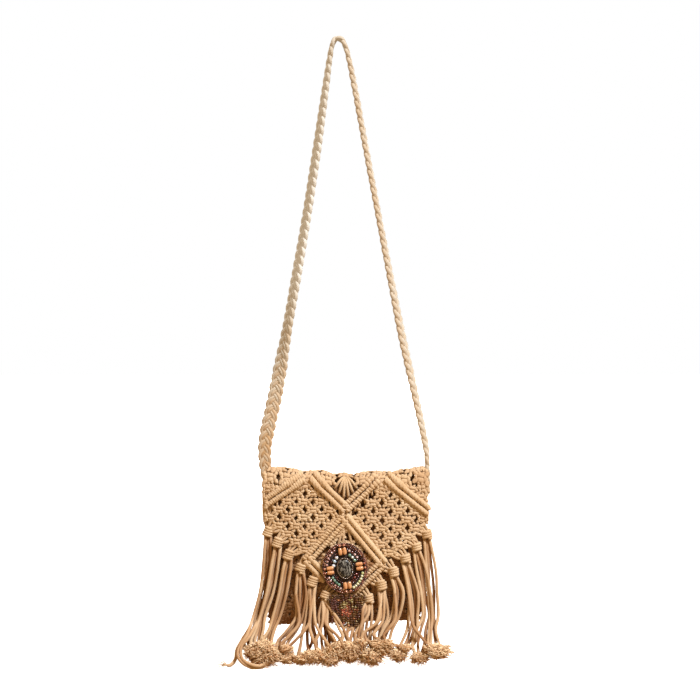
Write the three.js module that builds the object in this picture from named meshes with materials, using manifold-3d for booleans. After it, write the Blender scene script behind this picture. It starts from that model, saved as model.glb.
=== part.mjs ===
// A macrame shoulder bag, hanging from the top of its braided strap.
// Millimetres, +Z up, the front of the bag faces -Y.
// The origin is where the strap hangs, under its highest bend.
// Inside the bag group, x runs across from the middle of the bag and z is minus the drop below the folded top.
import * as THREE from 'three';
import { mergeVertices } from 'three/addons/utils/BufferGeometryUtils.js';
import Module from 'manifold-3d';

const wasm = await Module();
wasm.setup();

// Bag sizes
const BAG_WIDTH = 220;
const BAG_HALF = BAG_WIDTH / 2;
const BAG_DROP = 566;
const BAG_CENTRE = 9.5;
const FLOOR_DROP = 254;
const CORD = 4.4;
const WALL = 7;
const GAP = 0.35;

// Pouch: half of the hollow's depth and half of the outer width at each drop, then the rounded bottom
const POUCH_FORM = [
  { drop: 22, hollow: 6, half: 98 },
  { drop: 60, hollow: 10, half: 100 },
  { drop: 115, hollow: 13, half: 102 },
  { drop: 165, hollow: 11, half: 102 },
  { drop: 190, hollow: 5, half: 99 },
];
const POUCH_BASE = [
  { drop: 199, depth: 8.5, half: 95 },
  { drop: 204, depth: 3.5, half: 90 },
];
const SIDE_SLIT = 0.8;
const ACROSS = [-1, -0.88, -0.66, -0.35, 0, 0.35, 0.66, 0.88, 1];

// Flap: the fold over the mouth, the clearance in front of the pouch, and the V edge that the tassels hang from
const FOLD_BASE = POUCH_FORM[0].drop;
const FOLD_STEPS = 6;
const CREST_DIP = 7;
const CREST_DIP_HALF = 62;
const FLAP_CLEAR = 1.2;
const FLAP_ROWS = POUCH_FORM.map(({ drop }) => drop);
const TIP_X = 2.5;
const EDGE_SLOPE = 1.08;
const STRAP_NOTCH = { from: 99.5, depth: 34, behind: -8.6 };

// Ribs: a pair of ridges each, along the centre lines of the two tents and the diamond
const RIB = { half: 7.8, ridge: 3.9, rise: 2.8, valley: 1, root: 1.6, steps: 4 };
const TENT = { apexX: 49, apexDrop: 13, startX: 7, edgeDrop: 50, crossDrop: 50 };
const DIAMOND = { top: 62, cornerX: 49.5, cornerDrop: 119, bottom: 168 };
const SKEW = 0.045;
const SKEW_FROM = 60;

// Net: square knots at this pitch leave a small diamond gap between each four of them
const NET = { pitch: 5 * CORD, row: 10.6, gapHalf: 2.3, margin: 4.5, tentX: 55, firstRow: 56 };

// Tassels: a knot at each distance from the V's middle, and where its cords come down on each side
const KNOT = { radius: 6.2, half: 7.2, shoulder: 5, groove: 0.7, sides: 6 };
const KNOT_ROW = { clear: 9.8, firstX: 105, firstDrop: 83, off: 0.9 };
const TASSELS = [
  { knotX: 105, leftFoot: -146, rightFoot: 125, leftTuft: 9, rightTuft: 9, leftToe: -12, rightToe: 13 },
  { knotX: 91, leftFoot: -121, rightFoot: 99, leftTuft: 11.5, rightTuft: 9, leftToe: 0, rightToe: 0 },
  { knotX: 76.5, leftFoot: -99, rightFoot: 75, leftTuft: 9, rightTuft: 9.5, leftToe: 0, rightToe: 0 },
  { knotX: 61, leftFoot: -75, rightFoot: 54, leftTuft: 8, rightTuft: 8, leftToe: 0, rightToe: 0 },
  { knotX: 45, leftFoot: -44, rightFoot: 34, leftTuft: 11, rightTuft: 9, leftToe: 3, rightToe: 0 },
  { knotX: 28, leftFoot: -15, rightFoot: 13, leftTuft: 10, rightTuft: 8, leftToe: 1, rightToe: 0 },
];
const LOCK = { radius: CORD / 2, apart: 2.7, openTo: 4.3, behind: 2.7, sides: 5, steps: 4 };
const FALL = { sweep: 1.9, curl: 30, footY: -44 };
const TUFT = { length: 20, flat: 0.75, sides: 6 };

// Side lacing: a cord whose bights bulge along each side seam
const LACING = { top: 30.4, bottom: 188, bights: 11, thin: 3.1, thick: 4.2, sides: 5 };

// Strap: half sizes of the flat braid, and its route from the left corner over the hang point to the right.
// turn is the angle of the braid's flat side: 0 shows the camera its edge, 90 its face.
const STRAP = { half: 6.5, thick: 3.4, sides: 8, steps: 2 };
const STRAP_ROUTE = [
  { x: -97.9, z: -596, turn: 90 },
  { x: -98.1, z: -560, turn: 90 },
  { x: -97, z: -530, turn: 90 },
  { x: -84, z: -465, turn: 84 },
  { x: -69, z: -387, turn: 66 },
  { x: -55, z: -308, turn: 48 },
  { x: -42, z: -229, turn: 42 },
  { x: -29.5, z: -145, turn: 30 },
  { x: -18, z: -66, turn: 14 },
  { x: -10.5, z: -20, turn: 0 },
  { x: -5.6, z: -2, turn: 0 },
  { x: 0, z: STRAP.thick, turn: 0 },
  { x: 6.2, z: -2, turn: 0 },
  { x: 12.5, z: -20, turn: 0 },
  { x: 21.5, z: -66, turn: 0 },
  { x: 36, z: -145, turn: 0 },
  { x: 51.5, z: -229, turn: 0 },
  { x: 66.5, z: -308, turn: 0 },
  { x: 82, z: -387, turn: 0 },
  { x: 99, z: -465, turn: 0 },
  { x: 114, z: -530, turn: 0 },
  { x: 118, z: -560, turn: 0 },
  { x: 118.5, z: -596, turn: 0 },
];

// Medallion: half sizes of its ovals, across and up, and the heights of its layers towards the viewer
const MEDALLION = { x: -0.3, drop: 128.4, tilt: 8.5, clear: 0.5, segments: 9 };
const BACKING = { across: 29.5, up: 33, thick: 2.4, padAcross: 16, padUp: 17, padDepth: 2.2 };
const RIM = { inAcross: 25.4, inUp: 28.9, rise: 1.8 };
const FIELD = { inAcross: 13, inUp: 16.3, outAcross: 24.8, outUp: 28.2, lane: 6.2, rise: 2.2 };
const BEZEL = { across: 12, up: 15.25, inAcross: 9.5, inUp: 12.7, rise: 3.2 };
const CABOCHON = { across: 9.1, up: 12.3, rise: 5.6, sides: 16 };
const BARREL = { radius: 2.7, endRadius: 1.9, half: 5.1, apart: 2.85, upAt: 22.5, acrossAt: 19.5, sides: 10 };

// Bead tail: a short head under the medallion and the strands that hang from it
const TAIL = { radius: 2, sides: 8, steps: 3, headDrop: 164.4, headFrom: -9, headTo: 18, forward: 2.2 };
const TAIL_STRANDS = [
  { top: -7, foot: -8, end: 197 },
  { top: -1, foot: -2, end: 203 },
  { top: 5, foot: 5, end: 207 },
  { top: 11, foot: 10, end: 204 },
  { top: 16, foot: 15, end: 196 },
];

// Finishes
const COTTON = { color: 0xc8a076, roughness: 0.9, metalness: 0 };
const DARK_FELT = { color: 0x33211c, roughness: 0.85, metalness: 0 };
const PLUM_BEADS = { color: 0x5e3038, roughness: 0.35, metalness: 0.1 };
const MIXED_BEADS = { color: 0x7d7f74, roughness: 0.3, metalness: 0 };
const ORANGE_WOOD = { color: 0xd98a48, roughness: 0.4, metalness: 0 };
const BLACK_BEADS = { color: 0x241c1a, roughness: 0.4, metalness: 0.1 };
const BLACK_STONE = { color: 0x2c2d2e, roughness: 0.12, metalness: 0 };
const BRONZE_BEADS = { color: 0x6b4526, roughness: 0.35, metalness: 0.3 };

const bagPoint = (x, y, drop) => new THREE.Vector3(x, y, -drop);

// A column of a table at a drop, read straight between its rows
function lookUp(rows, column, drop) {
  const after = rows.findIndex((row) => row.drop > drop);
  if (after === 0) return rows[0][column];
  if (after < 0) return rows[rows.length - 1][column];
  const above = rows[after - 1];
  const below = rows[after];
  return THREE.MathUtils.mapLinear(drop, above.drop, below.drop, above[column], below[column]);
}

// Joins and cuts
function toSolid(geometry) {
  const bare = geometry.clone();
  bare.deleteAttribute('normal');
  bare.deleteAttribute('uv');
  const merged = mergeVertices(bare, 1e-4);
  const vertProperties = Float32Array.from(merged.attributes.position.array);
  const triVerts = Uint32Array.from(merged.index.array);
  return new wasm.Manifold(new wasm.Mesh({ numProp: 3, vertProperties, triVerts }));
}

function toGeometry(solid) {
  const mesh = solid.getMesh();
  const geometry = new THREE.BufferGeometry();
  geometry.setAttribute('position', new THREE.BufferAttribute(Float32Array.from(mesh.vertProperties), 3));
  geometry.setIndex(new THREE.BufferAttribute(Uint32Array.from(mesh.triVerts), 1));
  return geometry;
}

function fuse(geometries) {
  return geometries.map(toSolid).reduce((joined, next) => joined.add(next));
}

// A closed body from points and faces, turned so that its faces point out
function closedBody(points, faces) {
  const volume = faces.reduce((sum, [a, b, c]) => sum + points[a].clone().cross(points[b]).dot(points[c]), 0);
  const turned = volume > 0 ? faces : faces.map(([a, b, c]) => [a, c, b]);
  const geometry = new THREE.BufferGeometry().setFromPoints(points);
  geometry.setIndex(turned.flat());
  return geometry;
}

// A closed body through rings of points, each end closed by a fan from its middle
function loft(rings) {
  const sides = rings[0].length;
  const points = rings.flat();
  const faces = [];
  for (let ring = 0; ring + 1 < rings.length; ring += 1) {
    for (let side = 0; side < sides; side += 1) {
      const a = ring * sides + side;
      const b = ring * sides + (side + 1) % sides;
      faces.push([a, b, b + sides], [a, b + sides, a + sides]);
    }
  }
  for (const [first, flip] of [[0, true], [(rings.length - 1) * sides, false]]) {
    const middle = points.length;
    const ends = points.slice(first, first + sides);
    points.push(ends.reduce((sum, point) => sum.add(point), new THREE.Vector3()).divideScalar(sides));
    for (let side = 0; side < sides; side += 1) {
      const next = first + (side + 1) % sides;
      faces.push(flip ? [middle, next, first + side] : [middle, first + side, next]);
    }
  }
  return closedBody(points, faces);
}

// A closed sheet between two grids of points that match row for row
function sheet(outer, inner) {
  const rows = outer.length;
  const columns = outer[0].length;
  const points = [...outer.flat(), ...inner.flat()];
  const at = (layer, row, column) => (layer * rows + row) * columns + column;
  const faces = [];
  const quad = (a, b, c, d) => faces.push([a, b, c], [a, c, d]);
  for (let row = 0; row + 1 < rows; row += 1) {
    for (let column = 0; column + 1 < columns; column += 1) {
      quad(at(0, row, column), at(0, row, column + 1), at(0, row + 1, column + 1), at(0, row + 1, column));
      quad(at(1, row, column), at(1, row + 1, column), at(1, row + 1, column + 1), at(1, row, column + 1));
    }
  }
  for (let column = 0; column + 1 < columns; column += 1) {
    const last = rows - 1;
    quad(at(0, 0, column), at(1, 0, column), at(1, 0, column + 1), at(0, 0, column + 1));
    quad(at(0, last, column), at(0, last, column + 1), at(1, last, column + 1), at(1, last, column));
  }
  for (let row = 0; row + 1 < rows; row += 1) {
    const last = columns - 1;
    quad(at(0, row, 0), at(0, row + 1, 0), at(1, row + 1, 0), at(1, row, 0));
    quad(at(0, row, last), at(1, row, last), at(1, row + 1, last), at(0, row + 1, last));
  }
  return closedBody(points, faces);
}

// A tube along a path, its radius read from a function of the way along
function tube(path, sides, steps, radiusAt) {
  const frames = path.computeFrenetFrames(steps);
  const rings = [];
  for (let step = 0; step <= steps; step += 1) {
    const centre = path.getPointAt(step / steps);
    const ring = [];
    for (let side = 0; side < sides; side += 1) {
      const angle = 2 * Math.PI * side / sides;
      const radius = radiusAt(step / steps);
      ring.push(centre.clone()
        .addScaledVector(frames.normals[step], radius * Math.cos(angle))
        .addScaledVector(frames.binormals[step], radius * Math.sin(angle)));
    }
    rings.push(ring);
  }
  return loft(rings);
}

// Shapes drawn on the front view, cut as prisms from one depth to another behind it
function frontPrism(shapes, nearY, farY) {
  const prism = new THREE.ExtrudeGeometry(shapes, { depth: farY - nearY, bevelEnabled: false });
  return prism.rotateX(Math.PI / 2).translate(0, farY, 0);
}

function netGap(x, drop) {
  const half = NET.gapHalf;
  const corners = [[x - half, -drop], [x, -drop - half], [x + half, -drop], [x, -drop + half]];
  return new THREE.Shape(corners.map(([across, up]) => new THREE.Vector2(across, up)));
}

// Pouch
const bulge = (share) => 1 - Math.min(1, Math.abs(share)) ** 4;

const hollowDepth = (share, drop) => {
  const full = lookUp(POUCH_FORM, 'hollow', drop);
  return SIDE_SLIT + (full - SIDE_SLIT) * bulge(share);
};

const pouchFront = (x, drop) => WALL + hollowDepth(x / lookUp(POUCH_FORM, 'half', drop), drop);

function bandRing(half, drop, depthAt) {
  const front = ACROSS.map((share) => bagPoint(half * share, -depthAt(share), drop));
  const back = ACROSS.map((share) => bagPoint(half * share, depthAt(share), drop)).reverse();
  return [...front, ...back];
}

// The V edge and the line of knots below it, as drops at a distance from the V's middle
const knotDrop = (fromTip) => KNOT_ROW.firstDrop + EDGE_SLOPE * (KNOT_ROW.firstX - fromTip);
const edgeDrop = (x) => knotDrop(Math.abs(x - TIP_X)) - KNOT_ROW.clear * Math.hypot(1, EDGE_SLOPE);

function netPlaces(rowFrom, rowTo, middle, keep) {
  const places = [];
  const columns = Math.ceil(BAG_HALF / NET.pitch);
  for (let row = rowFrom; row <= rowTo; row += 1) {
    const shift = row % 2 === 0 ? 0 : NET.pitch / 2;
    for (let column = -columns; column <= columns; column += 1) {
      const x = middle + column * NET.pitch + shift;
      const drop = NET.firstRow + row * NET.row;
      if (keep(x, drop)) places.push({ x, drop });
    }
  }
  return places;
}

function pouch() {
  const wallRings = POUCH_FORM.map(({ drop, half }) => (
    bandRing(half, drop + (drop === FOLD_BASE ? GAP : 0), (share) => WALL + hollowDepth(share, drop))));
  const baseRings = POUCH_BASE.map(({ drop, depth, half }) => (
    bandRing(half, drop, (share) => depth * (1 + bulge(share)) / 2)));
  const hollowRings = POUCH_FORM.map(({ drop, half }) => (
    bandRing(half - WALL, drop, (share) => hollowDepth(share, drop))));
  const over = bandRing(POUCH_FORM[0].half - WALL, 0, (share) => hollowDepth(share, FOLD_BASE));
  const outer = toSolid(loft([...wallRings, ...baseRings]));
  const hollow = toSolid(loft([over, ...hollowRings]));
  const lowest = POUCH_FORM[POUCH_FORM.length - 1].drop - NET.margin;
  const widest = POUCH_FORM[0].half - WALL - NET.margin;
  const shows = (x, drop) => Math.abs(x) < widest && drop < lowest && drop > edgeDrop(x) + NET.row;
  const gaps = netPlaces(0, 13, 0, shows).map(({ x, drop }) => netGap(x, drop));
  return toGeometry(outer.subtract(hollow).subtract(toSolid(frontPrism(gaps, -2 * BAG_HALF, 0))));
}

// Flap
const crestDip = (x) => CREST_DIP * Math.max(0, 1 - (x / CREST_DIP_HALF) ** 2);

function foldPoint(x, angle, lift) {
  const backDepth = hollowDepth(x / BAG_HALF, FOLD_BASE);
  const frontDepth = backDepth + WALL + FLAP_CLEAR;
  const span = (backDepth + frontDepth) / 2 + lift;
  const rise = FOLD_BASE - WALL - crestDip(x) + lift;
  const y = (backDepth - frontDepth) / 2 + span * Math.cos(angle);
  return bagPoint(x, y, FOLD_BASE - rise * Math.sin(angle));
}

// A point of the flap's front at a drop, lifted off the flap's inner side
function flapPoint(x, drop, lift) {
  if (drop < FOLD_BASE) {
    const rise = FOLD_BASE - WALL - crestDip(x) + lift;
    return foldPoint(x, Math.PI - Math.asin(Math.min(1, (FOLD_BASE - drop) / rise)), lift);
  }
  return bagPoint(x, -WALL - hollowDepth(x / BAG_HALF, drop) - FLAP_CLEAR - lift, drop);
}

const skewed = (x, drop) => drop + SKEW * x * Math.min(1, drop / SKEW_FROM);

// The eight lines of the pattern: two sides of each tent and the four sides of the diamond
function ribLines() {
  const lines = [];
  for (const side of [-1, 1]) {
    const outerStart = [side * (TENT.apexX + TENT.startX), TENT.apexDrop];
    const innerStart = [side * (TENT.apexX - TENT.startX), TENT.apexDrop];
    const corner = [side * DIAMOND.cornerX, DIAMOND.cornerDrop];
    lines.push([outerStart, [side * BAG_HALF, TENT.edgeDrop]]);
    lines.push([innerStart, [0, TENT.crossDrop]]);
    lines.push([[0, DIAMOND.top], corner]);
    lines.push([corner, [0, DIAMOND.bottom]]);
  }
  return lines;
}

function rib([from, to]) {
  const along = new THREE.Vector2(to[0] - from[0], to[1] - from[1]).normalize();
  const section = [
    [-RIB.half, -RIB.root],
    [-RIB.half, RIB.valley],
    [-RIB.ridge, RIB.rise],
    [0, RIB.valley],
    [RIB.ridge, RIB.rise],
    [RIB.half, RIB.valley],
    [RIB.half, -RIB.root],
  ];
  const rings = [];
  for (let step = 0; step <= RIB.steps; step += 1) {
    const share = step / RIB.steps;
    const x = THREE.MathUtils.lerp(from[0], to[0], share);
    const drop = THREE.MathUtils.lerp(from[1], to[1], share);
    rings.push(section.map(([aside, lift]) => {
      const acrossX = x - along.y * aside;
      const acrossDrop = skewed(acrossX, drop + along.x * aside);
      return flapPoint(acrossX, Math.max(acrossDrop, crestDip(acrossX) + 1), WALL + lift);
    }));
  }
  return loft(rings);
}

// How far a place lies from the nearest rib line
function fromRibs(x, drop) {
  const place = new THREE.Vector3(x, drop, 0);
  return Math.min(...ribLines().map(([from, to]) => {
    const ends = [from, to].map(([endX, endDrop]) => new THREE.Vector3(endX, skewed(endX, endDrop), 0));
    return new THREE.Line3(...ends).closestPointToPoint(place, true, new THREE.Vector3()).distanceTo(place);
  }));
}

// Whether a place, at a distance from the flap's middle, lies under a tent's sides and outside the diamond
function inTent(fromMiddle, drop) {
  const { mapLinear } = THREE.MathUtils;
  const tentSide = fromMiddle > TENT.apexX
    ? mapLinear(fromMiddle, TENT.apexX, BAG_HALF, TENT.apexDrop, TENT.edgeDrop)
    : mapLinear(fromMiddle, TENT.apexX, 0, TENT.apexDrop, TENT.crossDrop);
  const diamondSide = mapLinear(fromMiddle, 0, DIAMOND.cornerX, DIAMOND.top, DIAMOND.cornerDrop);
  return fromMiddle < BAG_HALF - NET.margin && drop > tentSide && drop < diamondSide;
}

function flap() {
  const layers = [WALL, 0].map((lift) => {
    const fold = [];
    for (let step = 0; step < FOLD_STEPS; step += 1) {
      fold.push(ACROSS.map((share) => foldPoint(BAG_HALF * share, Math.PI * step / FOLD_STEPS, lift)));
    }
    const front = FLAP_ROWS.map((drop) => ACROSS.map((share) => flapPoint(BAG_HALF * share, drop, lift)));
    return [...fold, ...front];
  });
  const panel = fuse([sheet(...layers), ...ribLines().map(rib)]);
  const outline = [[-BAG_HALF, BAG_HALF], [BAG_HALF, BAG_HALF]];
  outline.push([BAG_HALF, -edgeDrop(BAG_HALF)], [TIP_X, -edgeDrop(TIP_X)], [-BAG_HALF, -edgeDrop(-BAG_HALF)]);
  const vShape = new THREE.Shape(outline.map(([x, z]) => new THREE.Vector2(x, z)));
  const trimmed = panel.intersect(toSolid(frontPrism([vShape], -BAG_HALF, BAG_HALF)));
  const places = [-1, 1].flatMap((side) => (
    netPlaces(-3, 8, side * NET.tentX, (x, drop) => side * x > 0 && inTent(Math.abs(x), drop)
      && fromRibs(x, drop) > RIB.half + NET.margin && drop < edgeDrop(x) - 2 * NET.margin)));
  const gaps = toSolid(frontPrism(places.map(({ x, drop }) => netGap(x, drop)), -BAG_HALF, 0));
  const notches = [-1, 1].map((side) => {
    const box = new THREE.BoxGeometry(BAG_HALF, BAG_HALF, 2 * STRAP_NOTCH.depth);
    const x = side * (STRAP_NOTCH.from + BAG_HALF / 2);
    return toSolid(box.translate(x, STRAP_NOTCH.behind + BAG_HALF / 2, 0));
  });
  return toGeometry(notches.reduce((rest, notch) => rest.subtract(notch), trimmed.subtract(gaps)));
}

// Side lacing
function lacing(side) {
  const rings = [];
  const count = 2 * LACING.bights;
  for (let step = 0; step <= count; step += 1) {
    const drop = THREE.MathUtils.lerp(LACING.top, LACING.bottom, step / count);
    const radius = step % 2 === 0 ? LACING.thin : LACING.thick;
    const x = side * (lookUp(POUCH_FORM, 'half', drop) + GAP + LACING.thick);
    const angles = [...Array(LACING.sides).keys()].map((index) => 2 * Math.PI * index / LACING.sides);
    rings.push(angles.map((angle) => bagPoint(x + radius * Math.cos(angle), radius * Math.sin(angle), drop)));
  }
  return loft(rings);
}

// Strap
function strap() {
  const route = new THREE.CatmullRomCurve3(STRAP_ROUTE.map(({ x, z }) => new THREE.Vector3(x, 0, z)));
  const turns = new THREE.SplineCurve(STRAP_ROUTE.map(({ turn }, index) => new THREE.Vector2(index, turn)));
  const depth = new THREE.Vector3(0, 1, 0);
  const count = STRAP.steps * (STRAP_ROUTE.length - 1);
  const rings = [];
  for (let step = 0; step <= count; step += 1) {
    const centre = route.getPoint(step / count);
    const along = route.getTangent(step / count);
    const turn = THREE.MathUtils.degToRad(turns.getPoint(step / count).y);
    const flat = depth.clone().applyAxisAngle(along, turn);
    const thin = flat.clone().cross(along);
    const ring = [];
    for (let side = 0; side < STRAP.sides; side += 1) {
      const angle = 2 * Math.PI * (side + 0.5) / STRAP.sides;
      const squared = (value) => Math.sign(value) * Math.abs(value) ** 0.7;
      ring.push(centre.clone()
        .addScaledVector(flat, STRAP.half * squared(Math.cos(angle)))
        .addScaledVector(thin, STRAP.thick * squared(Math.sin(angle))));
    }
    rings.push(ring);
  }
  return loft(rings);
}

// Tassels
function gatheringKnot() {
  const wraps = 3;
  const profile = [new THREE.Vector2(0, -KNOT.half)];
  for (let step = 0; step < 2 * wraps - 1; step += 1) {
    const radius = KNOT.radius - (step % 2) * KNOT.groove;
    profile.push(new THREE.Vector2(radius, KNOT.shoulder * (step - wraps + 1) / (wraps - 1)));
  }
  profile.push(new THREE.Vector2(0, KNOT.half));
  return new THREE.LatheGeometry(profile, KNOT.sides).rotateX(Math.PI / 2);
}

// The gathered cords between the V edge and the knot
function neck(edge, out, knotTop) {
  const alongEdge = new THREE.Vector3(out.z, 0, -out.x);
  const depth = new THREE.Vector3(0, 1, 0);
  const across = new THREE.Vector3(1, 0, 0);
  const angles = [0, 1, 2, 3, 4, 5].map((index) => index * Math.PI / 3);
  const ring = (centre, first, second, radius) => angles.map((angle) => centre.clone()
    .addScaledVector(first, radius * Math.cos(angle))
    .addScaledVector(second, radius * Math.sin(angle)));
  const start = edge.clone().addScaledVector(out, GAP);
  const facing = Math.sign(alongEdge.x) || 1;
  return loft([
    ring(start, alongEdge.multiplyScalar(facing), depth, CORD * 0.6),
    ring(knotTop, across, depth, CORD * 0.8),
  ]);
}

// One cord of a tassel: down from the knot in front of the pouch, then forward into the tuft on the floor.
// aside counts half places from the tassel's middle, and every second cord hangs behind the others.
function lock(knot, hangY, foot, endDrop, aside, layer) {
  const startDrop = -knot.z + KNOT.half - 2;
  const bendDrop = endDrop - FALL.curl;
  const back = layer * LOCK.behind;
  const points = [bagPoint(knot.x + aside * LOCK.apart, knot.y + back, startDrop)];
  for (const share of [0.3, 0.62, 1]) {
    const drop = THREE.MathUtils.lerp(startDrop, bendDrop, share);
    const fallen = ((drop - startDrop) / (endDrop - startDrop)) ** FALL.sweep;
    const x = THREE.MathUtils.lerp(knot.x, foot, fallen);
    points.push(bagPoint(x + aside * THREE.MathUtils.lerp(LOCK.apart, LOCK.openTo, share), hangY + back, drop));
  }
  points.push(bagPoint(foot + aside * LOCK.apart, FALL.footY + back / 2, endDrop));
  return tube(new THREE.CatmullRomCurve3(points), LOCK.sides, LOCK.steps, () => LOCK.radius);
}

// The frayed ends of a tassel, lying on the floor and opening towards the front
function tuft(foot, toe, half) {
  const stages = [{ out: 0.15, open: 0.62 }, { out: -0.4, open: 0.95 }, { out: -1, open: 1 }];
  return loft(stages.map(({ out, open }) => {
    const tall = half * open * TUFT.flat;
    const ring = [];
    for (let side = 0; side < TUFT.sides; side += 1) {
      const angle = 2 * Math.PI * side / TUFT.sides;
      const x = foot - toe * out + half * open * Math.cos(angle);
      ring.push(bagPoint(x, FALL.footY + TUFT.length * out, FLOOR_DROP - tall * (1 + Math.sin(angle))));
    }
    return ring;
  }));
}

function tassel(side, row) {
  const knotX = TIP_X + side * row.knotX;
  const drop = knotDrop(row.knotX);
  const knot = bagPoint(knotX, -pouchFront(knotX, drop) - KNOT.radius - KNOT_ROW.off, drop);
  const out = new THREE.Vector3(side * EDGE_SLOPE, 0, -1).normalize();
  const foot = knot.clone().addScaledVector(out, -KNOT_ROW.clear);
  const edge = flapPoint(foot.x, -foot.z, WALL / 2);
  const hangY = -pouchFront(knotX, POUCH_FORM[2].drop) - 2 * LOCK.radius - LOCK.behind;
  const [landing, half, toe] = side < 0
    ? [row.leftFoot, row.leftTuft, row.leftToe]
    : [row.rightFoot, row.rightTuft, row.rightToe];
  const pieces = [gatheringKnot().translate(knot.x, knot.y, knot.z)];
  pieces.push(neck(edge, out, knot.clone().setZ(knot.z + KNOT.half / 2)));
  for (const [aside, layer] of [[-1.5, -1], [-0.5, 1], [0.5, -1], [1.5, 1]]) {
    pieces.push(lock(knot, hangY, landing, FLOOR_DROP - half * TUFT.flat, aside, layer));
  }
  pieces.push(tuft(landing, toe, half));
  return toGeometry(fuse(pieces));
}

// Medallion, drawn in its own plane: x across, y up, z towards the viewer
function ovalShape(across, up) {
  return new THREE.Shape().absellipse(0, 0, across, up, 0, 2 * Math.PI, false, 0);
}

function ovalRing(outer, inner, depth, height) {
  const shape = ovalShape(outer.across, outer.up);
  shape.holes.push(new THREE.Path().absellipse(0, 0, inner.across, inner.up, 0, 2 * Math.PI, true, 0));
  return plate(shape, depth, height);
}

function plate(shape, depth, height) {
  const options = { depth, bevelEnabled: false, curveSegments: MEDALLION.segments };
  return new THREE.ExtrudeGeometry(shape, options).translate(0, 0, height);
}

function backing() {
  const disc = plate(ovalShape(BACKING.across, BACKING.up), BACKING.thick, 0);
  const pad = plate(ovalShape(BACKING.padAcross, BACKING.padUp), BACKING.padDepth + 1, -BACKING.padDepth);
  return toGeometry(fuse([disc, pad]));
}

// The field between an upright and a level pair of barrel beads, in the quarter given by two signs
function beadField(signX, signY) {
  const outer = (x) => FIELD.outUp * Math.sqrt(1 - (x / FIELD.outAcross) ** 2);
  const inner = (x) => FIELD.inUp * Math.sqrt(1 - (x / FIELD.inAcross) ** 2);
  const outerEnd = FIELD.outAcross * Math.sqrt(1 - (FIELD.lane / FIELD.outUp) ** 2);
  const innerEnd = FIELD.inAcross * Math.sqrt(1 - (FIELD.lane / FIELD.inUp) ** 2);
  const steps = [0, 1, 2, 3, 4, 5].map((index) => index / 5);
  const outline = steps.map((share) => {
    const x = THREE.MathUtils.lerp(FIELD.lane, outerEnd, share);
    return [x, outer(x)];
  });
  for (const share of steps.toReversed()) {
    const x = THREE.MathUtils.lerp(FIELD.lane, innerEnd, share);
    outline.push([x, inner(x)]);
  }
  const corners = outline.map(([x, y]) => new THREE.Vector2(signX * x, signY * y));
  return plate(new THREE.Shape(corners), FIELD.rise, 0);
}

function cabochon() {
  const profile = [[0, 0], [1, 0], [1, 0.3], [0.9, 0.62], [0.68, 0.85], [0.36, 0.97], [0, 1]];
  const dome = new THREE.LatheGeometry(profile.map(([r, h]) => new THREE.Vector2(r, h)), CABOCHON.sides);
  return dome.rotateX(Math.PI / 2).scale(CABOCHON.across, CABOCHON.up, CABOCHON.rise);
}

function barrel() {
  const { radius, endRadius, half } = BARREL;
  const profile = [[0, -half], [endRadius, -half], [radius, 0], [endRadius, half], [0, half]];
  return new THREE.LatheGeometry(profile.map(([r, h]) => new THREE.Vector2(r, h)), BARREL.sides);
}

// Bead tail
function beadTail(depthY) {
  const section = new THREE.Shape(ovalShape(TAIL.radius, TAIL.radius).getSpacedPoints(TAIL.sides).slice(0, -1));
  const string = (points, steps) => {
    const extrudePath = new THREE.CatmullRomCurve3(points);
    return new THREE.ExtrudeGeometry(section, { steps, extrudePath, bevelEnabled: false });
  };
  const head = [TAIL.headFrom, TAIL.headTo].map((x) => bagPoint(x, depthY, TAIL.headDrop));
  const strands = TAIL_STRANDS.map(({ top, foot, end }) => string([
    bagPoint(top, depthY, TAIL.headDrop),
    bagPoint((top + foot) / 2, depthY, (TAIL.headDrop + end) / 2),
    bagPoint(foot, depthY, end),
  ], TAIL.steps));
  return toGeometry(fuse([string(head, 1), ...strands]));
}

// Assembly
function named(name, geometry, finish) {
  const mesh = new THREE.Mesh(geometry, new THREE.MeshStandardMaterial(finish));
  mesh.name = name;
  return mesh;
}

function medallionGroup() {
  const backY = flapPoint(0, POUCH_FORM[2].drop, WALL + RIB.rise).y - MEDALLION.clear;
  const facing = new THREE.Group();
  facing.position.copy(bagPoint(MEDALLION.x, backY, MEDALLION.drop));
  facing.rotation.x = Math.PI / 2;
  const face = new THREE.Group();
  face.rotation.z = THREE.MathUtils.degToRad(MEDALLION.tilt);
  facing.add(face);
  const seat = BACKING.thick + GAP;
  face.add(named('medallion_backing', backing(), DARK_FELT));
  const rimHole = { across: RIM.inAcross, up: RIM.inUp };
  const bezelHole = { across: BEZEL.inAcross, up: BEZEL.inUp };
  face.add(named('medallion_rim', ovalRing(BACKING, rimHole, RIM.rise, seat), PLUM_BEADS));
  face.add(named('cabochon_bezel', ovalRing(BEZEL, bezelHole, BEZEL.rise, seat), BLACK_BEADS));
  const stone = named('cabochon', cabochon(), BLACK_STONE);
  stone.position.z = seat;
  face.add(stone);
  [[-1, 1], [1, 1], [1, -1], [-1, -1]].forEach(([signX, signY], index) => {
    const field = named(`bead_field_${index + 1}`, beadField(signX, signY), MIXED_BEADS);
    field.position.z = seat;
    face.add(field);
  });
  const places = [];
  for (const sign of [1, -1]) {
    for (const aside of [-BARREL.apart, BARREL.apart]) {
      places.push({ x: aside, y: sign * BARREL.upAt, turn: 0 });
      places.push({ x: sign * BARREL.acrossAt, y: aside, turn: Math.PI / 2 });
    }
  }
  places.forEach(({ x, y, turn }, index) => {
    const bead = named(`barrel_bead_${index + 1}`, barrel(), ORANGE_WOOD);
    bead.position.set(x, y, seat + BARREL.radius);
    bead.rotation.z = turn;
    face.add(bead);
  });
  return { facing, backY };
}

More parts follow.
